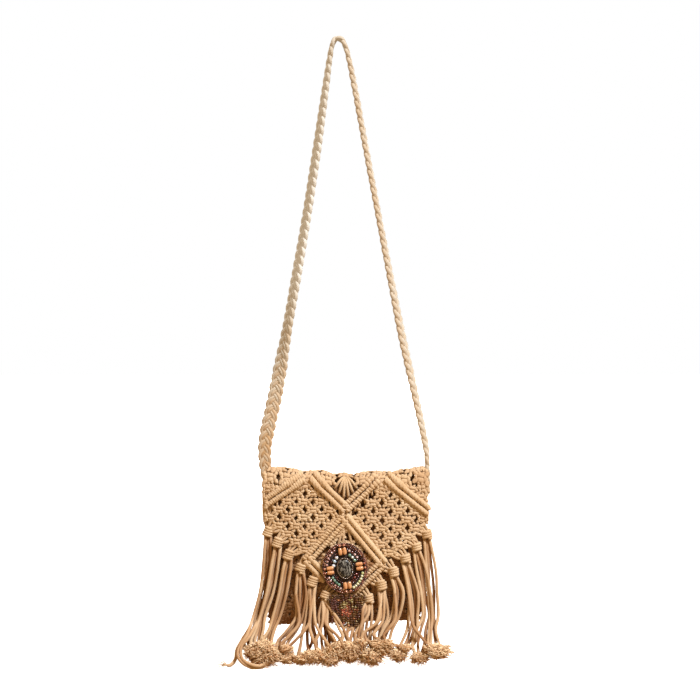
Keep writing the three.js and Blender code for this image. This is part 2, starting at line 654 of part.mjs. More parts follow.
const bag = new THREE.Group();
bag.position.set(BAG_CENTRE, 0, -BAG_DROP);
bag.add(named('pouch', pouch(), COTTON));
bag.add(named('flap', flap(), COTTON));
bag.add(named('side_lacing_left', lacing(-1), COTTON));
bag.add(named('side_lacing_right', lacing(1), COTTON));
for (const [side, word] of [[-1, 'left'], [1, 'right']]) {
  TASSELS.forEach((row, index) => {
    bag.add(named(`tassel_${word}_${index + 1}`, tassel(side, row), COTTON));
  });
}
const { facing: medallion, backY: medallionBackY } = medallionGroup();
bag.add(medallion);
bag.add(named('bead_tail', beadTail(medallionBackY - TAIL.forward), BRONZE_BEADS));

const model = new THREE.Group();
model.add(named('strap', strap(), COTTON));
model.add(bag);

export default model;
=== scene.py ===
# %% [markdown]
# # A macrame shoulder bag
# The bag is knotted from one cotton cord: a net pouch, a flap with raised ribs that folds over its mouth,
# twelve tassels along the flap's V edge and a long braided strap. A beaded medallion sits on the flap.
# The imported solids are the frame. Every piece below takes the place of one of them and keeps its form, and
# adds the fine work that a solid leaves out: knots, strands, fibres and beads.

# %% The frame
import math
from collections import namedtuple

import bpy
import numpy as np
from mathutils import Matrix, Vector


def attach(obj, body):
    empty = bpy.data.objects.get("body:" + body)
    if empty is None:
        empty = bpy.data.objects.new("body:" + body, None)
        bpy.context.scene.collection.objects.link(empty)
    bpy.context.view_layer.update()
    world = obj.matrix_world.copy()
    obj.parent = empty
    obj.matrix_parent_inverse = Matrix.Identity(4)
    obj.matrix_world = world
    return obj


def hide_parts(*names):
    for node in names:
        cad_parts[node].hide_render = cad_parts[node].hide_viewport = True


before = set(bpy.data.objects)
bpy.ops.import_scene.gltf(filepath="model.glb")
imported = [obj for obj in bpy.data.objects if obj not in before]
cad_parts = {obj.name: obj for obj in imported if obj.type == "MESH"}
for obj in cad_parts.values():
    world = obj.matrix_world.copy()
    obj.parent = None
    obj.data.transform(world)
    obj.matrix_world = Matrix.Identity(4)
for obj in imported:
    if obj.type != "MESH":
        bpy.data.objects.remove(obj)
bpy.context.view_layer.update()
bpy.ops.object.select_all(action="DESELECT")

# %% [markdown]
# Sizes are written in millimetres, as on a maker's ruler, and a mesh gets them in metres. On the bag, x runs
# across from its middle, drop runs down from its folded top and y runs back. One seeded source gives the
# small irregularities that hand work has, so the result is the same on every run.

# %% Rulers
MM = 0.001
BAG_CENTRE = 9.5
BAG_DROP = 566
FLOOR_DROP = 254
CORD = 4.4
hand = np.random.default_rng(7)


def from_bag(x, y, drop):
    return np.stack(np.broadcast_arrays(x + BAG_CENTRE, y, -BAG_DROP - drop), -1)


def unit(vectors):
    return vectors / np.maximum(np.linalg.norm(vectors, axis=-1, keepdims=True), 1e-9)


def turned(points, angle):
    """The points, turned about the third axis."""
    cos, sin = math.cos(angle), math.sin(angle)
    return points @ np.array([[cos, sin, 0], [-sin, cos, 0], [0, 0, 1]])


print("the floor lies", BAG_DROP + FLOOR_DROP, "mm below the hang point")

# %% [markdown]
# ## Finishes
# Shader maths is easier to read as a formula than as a chain of nodes. A Number wraps a socket, and each
# operator on it adds the Math node that works it out. A Finish is a material whose nodes all come from one
# method.

# %% Shader maths as formulas


class Number:
    """A socket that can be used in a formula."""

    def __init__(self, finish, socket):
        self.finish, self.socket = finish, socket

    def of(self, output):
        return Number(self.finish, self.socket.node.outputs[output])

    def math(self, operation, first, second=0.0):
        return self.finish.node("ShaderNodeMath", {"operation": operation}, {0: first, 1: second})

    def __add__(self, other):
        return self.math("ADD", self, other)

    def __sub__(self, other):
        return self.math("SUBTRACT", self, other)

    def __rsub__(self, other):
        return self.math("SUBTRACT", other, self)

    def __mul__(self, other):
        return self.math("MULTIPLY", self, other)

    def larger(self, other):
        return self.math("MAXIMUM", self, other)

    def sine(self):
        return self.math("SINE", self)

    __radd__ = __add__
    __rmul__ = __mul__


class Finish:
    """A material with one main shader."""

    def __init__(self, name, **constants):
        self.material = bpy.data.materials.new(name)
        self.material.use_nodes = True
        self.tree = self.material.node_tree
        self.shader = self.tree.nodes["Principled BSDF"]
        self.look(**constants)

    def look(self, **values):
        for socket, value in values.items():
            self.feed(self.shader.inputs[socket.replace("_", " ")], value)

    def feed(self, socket, value):
        if isinstance(value, Number):
            self.tree.links.new(value.socket, socket)
        else:
            socket.default_value = value

    def node(self, kind, settings=None, inputs=None, output=0):
        made = self.tree.nodes.new(kind)
        for setting, value in (settings or {}).items():
            setattr(made, setting, value)
        for socket, value in (inputs or {}).items():
            self.feed(made.inputs[socket], value)
        return Number(self, made.outputs[output])

    def mix(self, first, second, share):
        return self.node("ShaderNodeMix", {"data_type": "RGBA"}, {0: share, 6: first, 7: second}, output=2)

    def noise(self, place, scale, detail=2.0):
        return self.node("ShaderNodeTexNoise", None, {"Vector": place, "Scale": scale, "Detail": detail})

    def finished(self, bump=None, **values):
        self.look(**values)
        if bump is not None:
            height, strength, depth = bump
            raised = {"Height": height, "Strength": strength, "Distance": depth}
            self.look(Normal=self.node("ShaderNodeBump", None, raised))
        return self.material


def colour(red, green, blue):
    """A display colour, 0 to 255, as the linear colour that a shader takes."""
    shares = np.array([red, green, blue]) / 255
    linear = np.where(shares <= 0.04045, shares / 12.92, ((shares + 0.055) / 1.055) ** 2.4)
    return (*linear, 1.0)


def palette(*shades):
    return [colour(*shade) for shade in shades]


print("mid grey as a linear share:", round(float(colour(128, 128, 128)[0]), 3))

# %% [markdown]
# The cord is soft undyed cotton, braided round, with a dull surface and a little fuzz. Its braid could be
# modelled, but a stitch is only a millimetre or two long, so it is a pattern and a bump, and its grooves get
# a little painted shade. Every cord carries a UV map called ways, which runs along it and around it, so the
# braid follows each bend. A tint attribute makes some cords a shade paler or deeper, as yarn from one spool
# is, and it also carries painted light and shade. Below zero it is painted shade, for places deep in the
# knots or in the shade of other cords, where a brown shade colour is mixed in. The strap's tint is painted
# light that makes it paler in its upper part, and its faint glow is painted light too, for the light that
# comes through its thin braid and fills its shaded side. Loose fibres have no braid.

# %% Cotton
# the brown of painted shade, mixed into the cotton where the tint is below zero
COTTON_SHADE = colour(118, 68, 26)
PLAITS_ALONG = 9
PLAITS_AROUND = 4
PATCH_SCALE = 45.0
FUZZ_SCALE = 1800.0


def cotton(name, deep, middle, pale, glow=0.0):
    """Braided cord in three shades of cotton."""
    cloth = Finish(name, Roughness=0.9, Sheen_Weight=0.08, Sheen_Roughness=0.5, Specular_IOR_Level=0.25,
                   Emission_Strength=glow)
    spot = cloth.node("ShaderNodeTexCoord", output=3)
    ways = cloth.node("ShaderNodeSeparateXYZ", None, {0: cloth.node("ShaderNodeUVMap", {"uv_map": "ways"})})
    along, around = ways * PLAITS_ALONG, ways.of(1) * PLAITS_AROUND
    right_hand = ((along + around) * (2 * math.pi)).sine()
    left_hand = ((along - around) * (2 * math.pi)).sine()
    plait = right_hand.larger(left_hand)
    patches = cloth.noise(spot, PATCH_SCALE, 3.0)
    fuzz = cloth.noise(spot, FUZZ_SCALE)
    tint = cloth.node("ShaderNodeAttribute", {"attribute_name": "tint"}, output=2)
    tone = cloth.mix(deep, middle, tint * 0.8 + patches * 0.4)
    # the pale colour is mixed in by noise patches, a tone at random, and by a tint above 0.9, which is
    # painted light
    tone_and_painted_light = cloth.mix(tone, pale, (patches * 0.5 + fuzz * 0.3) * 0.8 + (tint - 0.9).larger(0.0) - 0.1)
    # painted shade: the braid's grooves are mixed a little toward the deep colour
    braided = cloth.mix(deep, tone_and_painted_light, plait * 0.14 + 0.86)
    # painted shade: a tint below zero mixes in the brown shade colour
    with_painted_shade = cloth.mix(braided, COTTON_SHADE, 0.0 - tint)
    raised = (plait * 0.7 + fuzz * 0.8, 0.45, 0.0003)
    return cloth.finished(bump=raised, Base_Color=with_painted_shade, Emission_Color=with_painted_shade)


COTTON_CORD = cotton("cotton_cord", colour(160, 112, 56), colour(199, 169, 127), colour(231, 217, 194))
# the strap's glow is painted light, which fills its shaded side
COTTON_STRAP = cotton("cotton_strap", colour(166, 124, 62), colour(172, 162, 142), colour(208, 209, 204),
                      glow=0.24)

frayed = Finish("cotton_frayed", Roughness=0.9, Sheen_Weight=0.2, Sheen_Roughness=0.4, Specular_IOR_Level=0.2)
# the frayed finish runs from brown to pale by its tint, which carries painted light and shade by height
paleness = frayed.node("ShaderNodeAttribute", {"attribute_name": "tint"}, output=2)
COTTON_FRAYED = frayed.finished(Base_Color=frayed.mix(colour(160, 103, 50), colour(244, 217, 175), paleness))
print("cotton finishes:", COTTON_CORD.name, COTTON_STRAP.name, COTTON_FRAYED.name)

# %% [markdown]
# ## Cords
# A cord is a tube swept along a path. Blender's curves could do it, but hundreds of cords and thousands of
# frayed fibres are quicker as arrays: many paths with the same number of points are swept in one go. These
# helpers round a path through a few points, and turn the directions across it along with it.

# %% Paths and tubes


def smooth(points, per):
    """A rounded path through the points, with this many steps between each two."""
    points = np.asarray(points, float)
    ends = np.concatenate([[2 * points[0] - points[1]], points, [2 * points[-1] - points[-2]]])
    p0, p1, p2, p3 = (part[:, None, :] for part in (ends[:-3], ends[1:-2], ends[2:-1], ends[3:]))
    share = (np.arange(per) / per)[None, :, None]
    bend = 2 * p1 + (p2 - p0) * share + (2 * p0 - 5 * p1 + 4 * p2 - p3) * share**2
    path = (bend + (3 * p1 - p0 - 3 * p2 + p3) * share**3) / 2
    return np.concatenate([path.reshape(-1, points.shape[1]), points[-1:]])


def gone_along(path):
    """How far along the path each of its points lies."""
    return np.concatenate([[0], np.cumsum(np.linalg.norm(np.diff(path, axis=0), axis=1))])


def places_along(path, gone, at):
    """The places on a path at these ways along it."""
    return np.stack([np.interp(at, gone, column) for column in path.T], -1)


def frames(paths, start):
    """Two directions across each path, at each of its points, that turn with it."""
    along = unit(np.gradient(paths, axis=1))
    across = [unit(start - (start * along[:, 0]).sum(-1, keepdims=True) * along[:, 0])]
    for step in range(1, paths.shape[1]):
        ahead = along[:, step]
        across.append(unit(across[-1] - (across[-1] * ahead).sum(-1, keepdims=True) * ahead))
    across = np.stack(across, 1)
    return across, np.cross(along, across)


def tube_faces(steps, sides):
    first = np.arange(steps - 1)[:, None] * sides + np.arange(sides)
    beside = np.arange(steps - 1)[:, None] * sides + (np.arange(sides) + 1) % sides
    return np.stack([first, beside, beside + sides, first + sides], -1).reshape(-1, 4)


print("faces along a tube of 10 steps and 6 sides:", len(tube_faces(10, 6)))

# %% [markdown]
# A Skein gathers the tubes of one piece, and turns them into a single mesh at the end. One mesh for a whole
# net or tassel is lighter than an object for every cord, and is handled as the one piece that it is. Every
# tube is closed at both ends.

# %% Skeins


class Skein:
    """The cords of one piece: points, faces, the ways along and around at each corner, and a tint a point."""

    def __init__(self):
        self.points, self.faces, self.ways, self.tints, self.count = [], {}, {}, [], 0

    def add(self, points, blocks, tints):
        for faces, ways in blocks:
            size = faces.shape[1]
            self.faces.setdefault(size, []).append(faces + self.count)
            self.ways.setdefault(size, []).append(ways)
        self.points.append(points)
        self.tints.append(np.broadcast_to(tints, len(points)))
        self.count += len(points)

    def cords(self, paths, radius, sides=6, tints=0.5):
        """Sweeps several paths that have the same number of points."""
        paths = np.asarray(paths, float)
        count, steps, _ = paths.shape
        upright = np.abs(unit(paths[:, 1] - paths[:, 0])[:, 2:]) > 0.9
        across, other = frames(paths, np.where(upright, [[1.0, 0, 0]], [[0, 0, 1.0]]))
        angle = 2 * np.pi * np.arange(sides) / sides
        ring = np.cos(angle)[:, None] * across[:, :, None] + np.sin(angle)[:, None] * other[:, :, None]
        reach = np.broadcast_to(radius, (count, steps))
        points = paths[:, :, None] + ring * reach[..., None, None]
        gone = np.cumsum(np.linalg.norm(np.diff(paths, axis=1, prepend=paths[:, :1]), axis=-1), 1)
        gone = gone / (2 * np.pi * reach.mean())
        shift = np.arange(count)[:, None, None] * steps * sides
        walls = (tube_faces(steps, sides) + shift).reshape(-1, 4)
        near = np.repeat(gone[:, :-1, None], sides, 2)
        far = np.repeat(gone[:, 1:, None], sides, 2)
        left = np.broadcast_to(np.arange(sides) / sides, near.shape)
        right = left + 1 / sides
        corners = [(near, left), (near, right), (far, right), (far, left)]
        ways = np.stack([np.stack(corner, -1) for corner in corners], -2).reshape(-1, 4, 2)
        start = np.arange(sides)[::-1] + shift[:, :, 0]
        end = np.arange(sides) + (steps - 1) * sides + shift[:, :, 0]
        caps = np.concatenate([start, end])
        tints = np.broadcast_to(np.asarray(tints, float).T, (steps, count)).T.repeat(sides)
        self.add(points.reshape(-1, 3), [(walls, ways), (caps, np.zeros((*caps.shape, 2)))], tints)

    def shaped(self, change):
        """Moves all the points gathered so far, for example on to a curved wall."""
        self.points = [change(np.concatenate(self.points))]
        return self

    def shade_to_back(self, from_depth, to_depth, change):
        """Lowers the tint of flat work towards its back, as painted shade for the depth of the knots."""
        out = np.concatenate(self.points)[:, 2]
        lower = np.clip((from_depth - out) / (from_depth - to_depth), 0, 1) * change
        self.tints = [np.concatenate(self.tints) - lower]
        return self

    def mesh(self, name):
        made = bpy.data.meshes.new(name)
        faces = [np.concatenate(self.faces[size]) for size in self.faces]
        ways = [np.concatenate(self.ways[size]).reshape(-1, 2) for size in self.faces]
        sizes = np.concatenate([np.full(len(block), block.shape[1]) for block in faces])
        corners = np.concatenate([block.ravel() for block in faces]).astype(np.int32)
        made.vertices.add(self.count)
        made.vertices.foreach_set("co", (np.concatenate(self.points) * MM).astype(np.float32).ravel())
        made.loops.add(len(corners))
        made.loops.foreach_set("vertex_index", corners)
        made.polygons.add(len(sizes))
        made.polygons.foreach_set("loop_start", (np.cumsum(sizes) - sizes).astype(np.int32))
        made.polygons.foreach_set("use_smooth", np.ones(len(sizes), bool))
        made.update(calc_edges=True)
        layer = made.uv_layers.new(name="ways")
        layer.data.foreach_set("uv", np.concatenate(ways).astype(np.float32).ravel())
        tint = made.attributes.new("tint", "FLOAT", "POINT")
        tint.data.foreach_set("value", np.concatenate(self.tints).astype(np.float32))
        return made


def settle(piece, slot, *nodes):
    """The piece rides on the bag and stands for its solids. The slot is not used."""
    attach(piece, "root")
    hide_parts(*nodes)
    piece.data.calc_loop_triangles()
    print(piece.name, "triangles", len(piece.data.loop_triangles))
    return piece


def put(name, mesh):
    """A new object in the scene with this mesh."""
    piece = bpy.data.objects.new(name, mesh)
    bpy.context.scene.collection.objects.link(piece)
    return piece


def cotton_piece(name, skein, nodes, finish=COTTON_CORD):
    piece = put(name, skein.mesh(name))
    piece.data.materials.append(finish)
    return settle(piece, "cotton_cord", *nodes)


# %% [markdown]
# ## The form of the bag
# The net is knotted flat on a board and takes its curve from the bag. So the knots are modelled flat, with x
# across, up, and out towards the viewer, and then laid on the wall. These functions repeat the solids' own
# form: the pouch that swells in the middle, and the flap that folds over it and hangs in front.

# %% Walls
WALL = 7
SIDE_SLIT = 0.8
BAG_HALF = 110
FORM_DROP = [22, 60, 115, 165, 190]
FORM_HOLLOW = [6, 10, 13, 11, 5]
FORM_HALF = [98, 100, 102, 102, 99]
BASE_DROP = [190, 199, 204]
BASE_CLOSING = [1, 0.6, 0.1]
BASE_SKEW = 0.035
FOLD_BASE = 22
FOLD_LENGTH = 44
FLAP_CLEAR = 1.2
CREST_DIP = 7
CREST_DIP_HALF = 62
CREST_AT = [-104, -84, -69, -58, -47, -34, -25, -15, -2, 11, 25, 40, 52, 63, 74, 88, 104]
CREST_RISE = [2.5, 3.7, 2.6, -1, 2.6, 5.4, 4.4, 1, 4, 1, 3.7, 3.3, 0.5, -2.4, 1.5, 2.8, 5]


def hollow_depth(share, drop):
    swell = 1 - np.minimum(1, np.abs(share)) ** 4
    return SIDE_SLIT + (np.interp(drop, FORM_DROP, FORM_HOLLOW) - SIDE_SLIT) * swell


def pouch_front(x, drop):
    return WALL + hollow_depth(x / np.interp(drop, FORM_DROP, FORM_HALF), drop)


def on_pouch(flat, side):
    """Lays flat work on the front of the pouch, side -1, or on its back, side 1."""
    across, drop, out = flat[:, 0], -flat[:, 1], flat[:, 2]
    half = np.interp(drop, FORM_DROP, FORM_HALF)
    closing = np.interp(drop, BASE_DROP, BASE_CLOSING)
    middle = (WALL / 2 + hollow_depth(across / half, drop)) * closing
    x = -side * across
    return from_bag(x, side * (middle + out), drop - BASE_SKEW * x * drop / BASE_DROP[0])


def crest_dip(x):
    """How far the folded top lies below its highest line: a dip in the middle, and the lumps of the fold."""
    return CREST_DIP * np.maximum(0, 1 - (x / CREST_DIP_HALF) ** 2) - np.interp(x, CREST_AT, CREST_RISE)


def on_flap(flat):
    """Lays flat work on the flap: -up is the way down it, from behind the fold to the tip."""
    x, way, out = flat[:, 0], -flat[:, 1], flat[:, 2]
    lift = WALL / 2 + out
    back = hollow_depth(x / BAG_HALF, FOLD_BASE)
    front = back + WALL + FLAP_CLEAR
    angle = np.pi * np.clip((FOLD_BASE - way) / FOLD_LENGTH, 0, 1)
    rise = FOLD_BASE - WALL - crest_dip(x) + lift
    fold_y = (back - front) / 2 - ((back + front) / 2 + lift) * np.cos(angle)
    behind = np.maximum(0, FOLD_BASE - FOLD_LENGTH - way)
    fold_drop = FOLD_BASE - rise * np.sin(angle) + behind
    front_y = -(WALL + hollow_depth(x / BAG_HALF, way) + FLAP_CLEAR + lift)
    folded = way < FOLD_BASE
    return from_bag(x, np.where(folded, fold_y, front_y), np.where(folded, fold_drop, way))


def way_down(x, drop):
    """How far down the flap a place lies that is seen at this drop from the front."""
    rise = FOLD_BASE - WALL / 2 - crest_dip(x)
    angle = np.arcsin(np.clip((FOLD_BASE - drop) / rise, 0, 1))
    return np.where(drop < FOLD_BASE, FOLD_BASE - FOLD_LENGTH * angle / np.pi, drop)


print("wall depth in the middle of the front:", float(pouch_front(0, 115)), "mm")

# %% [markdown]
# ## The square knot
# The whole net is one knot over and over: two still cords in the middle, and two working cords that cross
# over and under them twice. From the front that shows as two bars, one above the other, with an ear at each
# side. The cords that leave one knot enter the two knots below it, half a pitch to each side, so the ends of
# this one lie just where the next row picks them up. It is modelled once and copied, each copy a little
# turned and shifted. Tight knots press the cord flat, which is the squeeze.

# %% One knot
PITCH_HALF = 11.0
ROW = 10.6
KNOT_CORD = 2.2
SQUEEZE = 0.68
NET_TINT = 0.55
HAND_TURN = 0.055
HAND_SWELL = 0.06
HAND_SHIFT = 0.35
HAND_TINT = 0.14
FRONT_WORKER = [
    (-8.8, 5.3, 3.2), (-8.5, 3.8, 3.4), (-6.4, 2.9, 3.8), (-4.2, 2.3, 1.8), (-2.4, 2.1, 3.3), (0, 2.05, 3.7),
    (2.4, 2.0, 3.2), (4.0, 1.7, 1.4), (5.7, 1.2, 3.0), (6.5, 0, 4.2),
]
BACK_WORKER = [
    (8.8, 5.3, 3.2), (8.6, 3.7, 3.6), (7.2, 2.7, 4.0), (5.2, 1.9, 0.6), (3.2, 1.8, -3.2), (0, 2.1, -4.2),
    (-3.4, 1.9, -3.6), (-5.4, 1.1, -1.0), (-6.3, 0.7, 2.6), (-6.5, -0.4, 4.3), (-5.9, -1.6, 3.4),
    (-4.4, -2.0, 0.8), (-2.6, -2.1, -3.2), (0, -2.1, -4.2), (3.8, -2.5, -3.0), (6.4, -2.8, 1.4),
    (8.6, -3.8, 3.2), (8.8, -5.3, 3.2),
]
STILL_CORD = [(2.2, 5.3, 3.2), (2.3, 4.2, 2.6), (2.2, 2.2, 0.6), (2.2, 0, 0)]


def mirrored(upper):
    """A whole cord of the knot from its upper half."""
    upper = np.array(upper, float)
    return np.concatenate([upper, upper[-2::-1] * [1, -1, 1]])


def square_knot(per, sides, radius=KNOT_CORD):
    """The knot as a skein of its own, flat, at its own middle."""
    knot = Skein()
    still = mirrored(STILL_CORD)
    for path in (mirrored(FRONT_WORKER), BACK_WORKER, still, still * [-1, 1, 1]):
        knot.cords([smooth(path, per)], radius, sides)
    return knot.shaped(lambda points: points * [1, 1, SQUEEZE])


def tie(skein, knot, places, pitch_half=PITCH_HALF, row=ROW, tint=NET_TINT):
    """Copies the knot to every place, each a little different, as hand work is."""
    points = knot.points[0]
    blocks = [(np.concatenate(knot.faces[size]), np.concatenate(knot.ways[size])) for size in knot.faces]
    stretch = np.array([pitch_half / PITCH_HALF, row / ROW, 1])
    for x, way in places:
        spun = turned(points, hand.normal(0, HAND_TURN))
        swollen = spun * stretch * [1, 1, 1 + hand.normal(0, HAND_SWELL)]
        moved = swollen + [x, -way, 0] + hand.normal(0, HAND_SHIFT, 3)
        skein.add(moved, blocks, tint + np.clip(hand.normal(0, HAND_TINT), -0.25, 0.4))


FINE_KNOT = square_knot(2, 6)
PLAIN_KNOT = square_knot(1, 5, KNOT_CORD * 1.18)
DENSE_KNOT = square_knot(1, 5, KNOT_CORD * 1.45)
print("points in the fine and the plain knot:", FINE_KNOT.count, PLAIN_KNOT.count)

# %% [markdown]
# ## The pouch
# Front and back are two panels of the same net, and the outermost knots are drawn in, so that the side
# lacing closes over them. The back is bare and gets the plain knot, with fewer steps. Of the front only a
# brown shade shows behind the fringe, so its knots are thicker, with hardly a gap, and tinted deep all over
# as painted shade. On both panels each knot is tinted deeper towards its back, as painted shade.

# %% Pouch panels
POUCH_FIRST_ROW = {-1: 26, 1: 16}
POUCH_LAST_ROW = 201
POUCH_PITCH_HALF = 9.6
POUCH_ROW = 10.0
POUCH_SHIFT = 5.6
POUCH_INSET = {-1: 8, 1: 5}
POUCH_EDGE = 1
POUCH_SPARE = 6
POUCH_FOOT_HALF = [95, 90]
KNOT_OVERLAP = 1.04


def pouch_places(side):
    places = []
    rows = int((POUCH_LAST_ROW - POUCH_FIRST_ROW[side]) / POUCH_ROW) + 1
    for row in range(rows):
        drop = POUCH_FIRST_ROW[side] + row * POUCH_ROW
        half = np.interp(drop, FORM_DROP + BASE_DROP[1:], FORM_HALF + POUCH_FOOT_HALF) + POUCH_EDGE
        columns = [POUCH_PITCH_HALF * (2 * column + row % 2) + side * POUCH_SHIFT for column in range(-7, 8)]
        inside = half - POUCH_INSET[side]
        places += [(float(np.clip(x, -inside, inside)), drop) for x in columns if abs(x) < half + POUCH_SPARE]
    return places


for name, side, knot in (("pouch_front_net", -1, DENSE_KNOT), ("pouch_back_net", 1, PLAIN_KNOT)):
    panel = Skein()
    tie(panel, knot, pouch_places(side), POUCH_PITCH_HALF * KNOT_OVERLAP, POUCH_ROW * KNOT_OVERLAP)
    # painted shade: the front panel is tinted deep all over, and every knot deeper towards its back
    if side < 0:
        panel.shade_to_back(9, 5, 1.0)
    panel.shade_to_back(2, -3, 0.5).shaped(lambda flat: on_pouch(flat, side))
    cotton_piece(name, panel, ["pouch"])

# %% [markdown]
# ## The flap
# On the flap, pairs of ribs draw two tents and, below them, a diamond. They are set out first, as a maker
# pins the lines on the board before knotting, because the net fills what they leave. The bag hangs a little
# askew, so the lines are skewed with it.

# %% Lines of the flap
SKEW = 0.045
SKEW_FROM = 60
TIP_X = 2.5
EDGE_SLOPE = 1.08
KNOT_ROW_FIRST_X = 105
KNOT_ROW_FIRST_DROP = 83
KNOT_ROW_CLEAR = 9.8
RIB_APART = 3.9
TENT_APEX_X = 49
TENT_APEX_DROP = 11
TENT_START = 7
TENT_FOOT_DROP = 50
DIAMOND_TOP = 62
DIAMOND_CORNER = (49.5, 119)
DIAMOND_BOTTOM = 168


def knot_drop(from_tip):
    return KNOT_ROW_FIRST_DROP + EDGE_SLOPE * (KNOT_ROW_FIRST_X - from_tip)


def edge_drop(x):
    return knot_drop(np.abs(x - TIP_X)) - KNOT_ROW_CLEAR * math.hypot(1, EDGE_SLOPE)


def rib_lines():
    """The middle line of each pair of ribs, as two ends (x, drop), for the left and then the right."""
    lines = []
    for side in (-1, 1):
        corner = (side * DIAMOND_CORNER[0], DIAMOND_CORNER[1])
        outer = (side * (TENT_APEX_X + TENT_START), TENT_APEX_DROP)
        inner = (side * (TENT_APEX_X - TENT_START), TENT_APEX_DROP)
        lines += [(outer, (side * BAG_HALF, TENT_FOOT_DROP)), (inner, (0, TENT_FOOT_DROP))]
        lines += [((0, DIAMOND_TOP), corner), (corner, (0, DIAMOND_BOTTOM))]
    return [np.array(line, float) for line in lines]


def skewed(line):
    x, drop = line[..., 0], line[..., 1]
    return np.stack([x, drop + SKEW * x * np.minimum(1, drop / SKEW_FROM)], -1)


RIBS = [skewed(line) for line in rib_lines()]


def from_ribs(x, drop):
    """How far a place lies from the nearest rib line."""
    place = np.array([x, drop])
    gaps = []
    for start, end in RIBS:
        share = np.clip(((place - start) @ (end - start)) / ((end - start) @ (end - start)), 0, 1)
        gaps.append(np.linalg.norm(place - start - share * (end - start)))
    return min(gaps)


def tent_side(x):
    """The drop of the tents' lower rib edge at a distance from the flap's middle."""
    level = [TENT_FOOT_DROP, TENT_APEX_DROP, TENT_FOOT_DROP]
    return np.interp(abs(x), [0, TENT_APEX_X, BAG_HALF], level) + SKEW * x


print("rib lines:", len(RIBS), "V edge at the tip:", float(edge_drop(TIP_X)))

# %% [markdown]
# The net sits in the tents, to both sides of the diamond, and a band of the same knots goes over the fold. A
# knot is tied wherever there is room for it between the ribs and above the V edge. Testing every place of a
# lattice is shorter than listing the knots, and it keeps the rows straight. Beside the strap and at the
# sides, where the edge cuts a place short, the knots are narrow.

# %% Knots of the flap
LATTICES = [
    {"side": -1, "x": -53.3, "drop": 51.6, "pitch_half": 11.0, "row": 10.5},
    {"side": 1, "x": 59.0, "drop": 54.0, "pitch_half": 11.2, "row": 10.8},
]
RIB_ROOM = 6.0
EDGE_ROOM = 5
FLAP_SIDE = 99.5
FLAP_LAST = 112
CREST_ROWS = [35.8, 25.2, 14.6, 4.0, -6.6, -17.2]
CREST_CORNER = 70
CREST_TINT = 0.42
FILLER_WAY = 14
FILLER_X = 22
EDGE_X = 101.8
EDGE_PITCH_HALF = 8.4
STRAP_FOOT = 14
STRAP_X = 95
APEX_KNOT = (47.5, 22.5)


def tent_places(lattice):
    """Every second place of a lattice is a gap of the net, and the others are its knots."""
    places = []
    for row in range(-5, 13):
        for column in range(-11, 12):
            x = lattice["x"] + column * lattice["pitch_half"]
            drop = lattice["drop"] + row * lattice["row"]
            on_panel = 0 < x * lattice["side"] < FLAP_LAST
            inside = on_panel and tent_side(x) < drop < edge_drop(x) - EDGE_ROOM
            if (row + column) % 2 and inside and from_ribs(x, drop) > RIB_ROOM:
                places.append((x, drop))
    return places


def crest_places():
    """The band over the fold, and the corners between it and the outer sides of the tents."""
    places = [(x, FILLER_WAY) for x in (-TENT_APEX_X, -FILLER_X, FILLER_X, TENT_APEX_X)]
    for row, way in enumerate(CREST_ROWS):
        for column in range(-10, 11):
            x = PITCH_HALF * column
            in_band = way < FOLD_BASE - FOLD_LENGTH / 4
            in_corner = abs(x) > CREST_CORNER and way < tent_side(x) - RIB_ROOM
            if (row + column) % 2 and (in_band or in_corner):
                places.append((x, way))
    return places


def tie_net(places, pitch_half, row, tint):
    by_strap = [(-STRAP_X, way) for x, way in places if x < -STRAP_X and way <= STRAP_FOOT]
    places = [(x, way) for x, way in places if x > -STRAP_X or way > STRAP_FOOT]
    whole = [(x, way) for x, way in places if abs(x) < FLAP_SIDE]
    narrow = by_strap + [(math.copysign(EDGE_X, x), way) for x, way in places if abs(x) >= FLAP_SIDE]
    tie(flap, FINE_KNOT, whole, pitch_half, row, tint)
    tie(flap, FINE_KNOT, narrow, EDGE_PITCH_HALF, row, tint)


flap = Skein()
for lattice in LATTICES:
    tie_net(tent_places(lattice), lattice["pitch_half"], lattice["row"], NET_TINT)
tie_net(crest_places(), PITCH_HALF, ROW, CREST_TINT)
tie(flap, FINE_KNOT, [APEX_KNOT], EDGE_PITCH_HALF, ROW)
print("points in the flap's net:", flap.count)

# %% [markdown]
# A rib is a row of hitches: each net cord wraps twice round one that is held tight across them. So a rib is
# a coil. On the ribs that rise to the right the wraps lie square across and show one by one. On the others
# they lie long and close, so those look smooth. The lower left ribs of the diamond sink into the net before
# they reach the tip.

# %% Ribs
RIB_OUT = 3.4
RIB_RING = 1.0
RIB_CORD = 2.85
RIB_REACH = (-104.5, 109.5)
RIB_SINKS = 0.5
CREST_CLEAR = 4
LOWER_FROM = 12
SQUARE_PITCH = 4.0
FAINT_PITCH = 3.0
LONG_PITCH = 15.0
LONG_STARTS = 3
LONG_STEPS = 16
WRAP_STEPS = 10


def coil(path, toward, pitch, ring, phase=0.0, steps=WRAP_STEPS):
    """A helix round a path, given one direction across the path that it starts from."""
    gone = gone_along(path)
    at = np.linspace(0, gone[-1], max(8, int(steps * gone[-1] / pitch)))
    centre = places_along(path, gone, at)
    across, other = (part[0] for part in frames(centre[None], np.array([toward], float)))
    turn = (2 * np.pi * at / pitch + phase)[:, None]
    return centre + ring * (np.cos(turn) * across + np.sin(turn) * other)


def is_lower(line):
    """The lines that start at the diamond's side corners."""
    return line[0, 1] > DIAMOND_TOP + LOWER_FROM


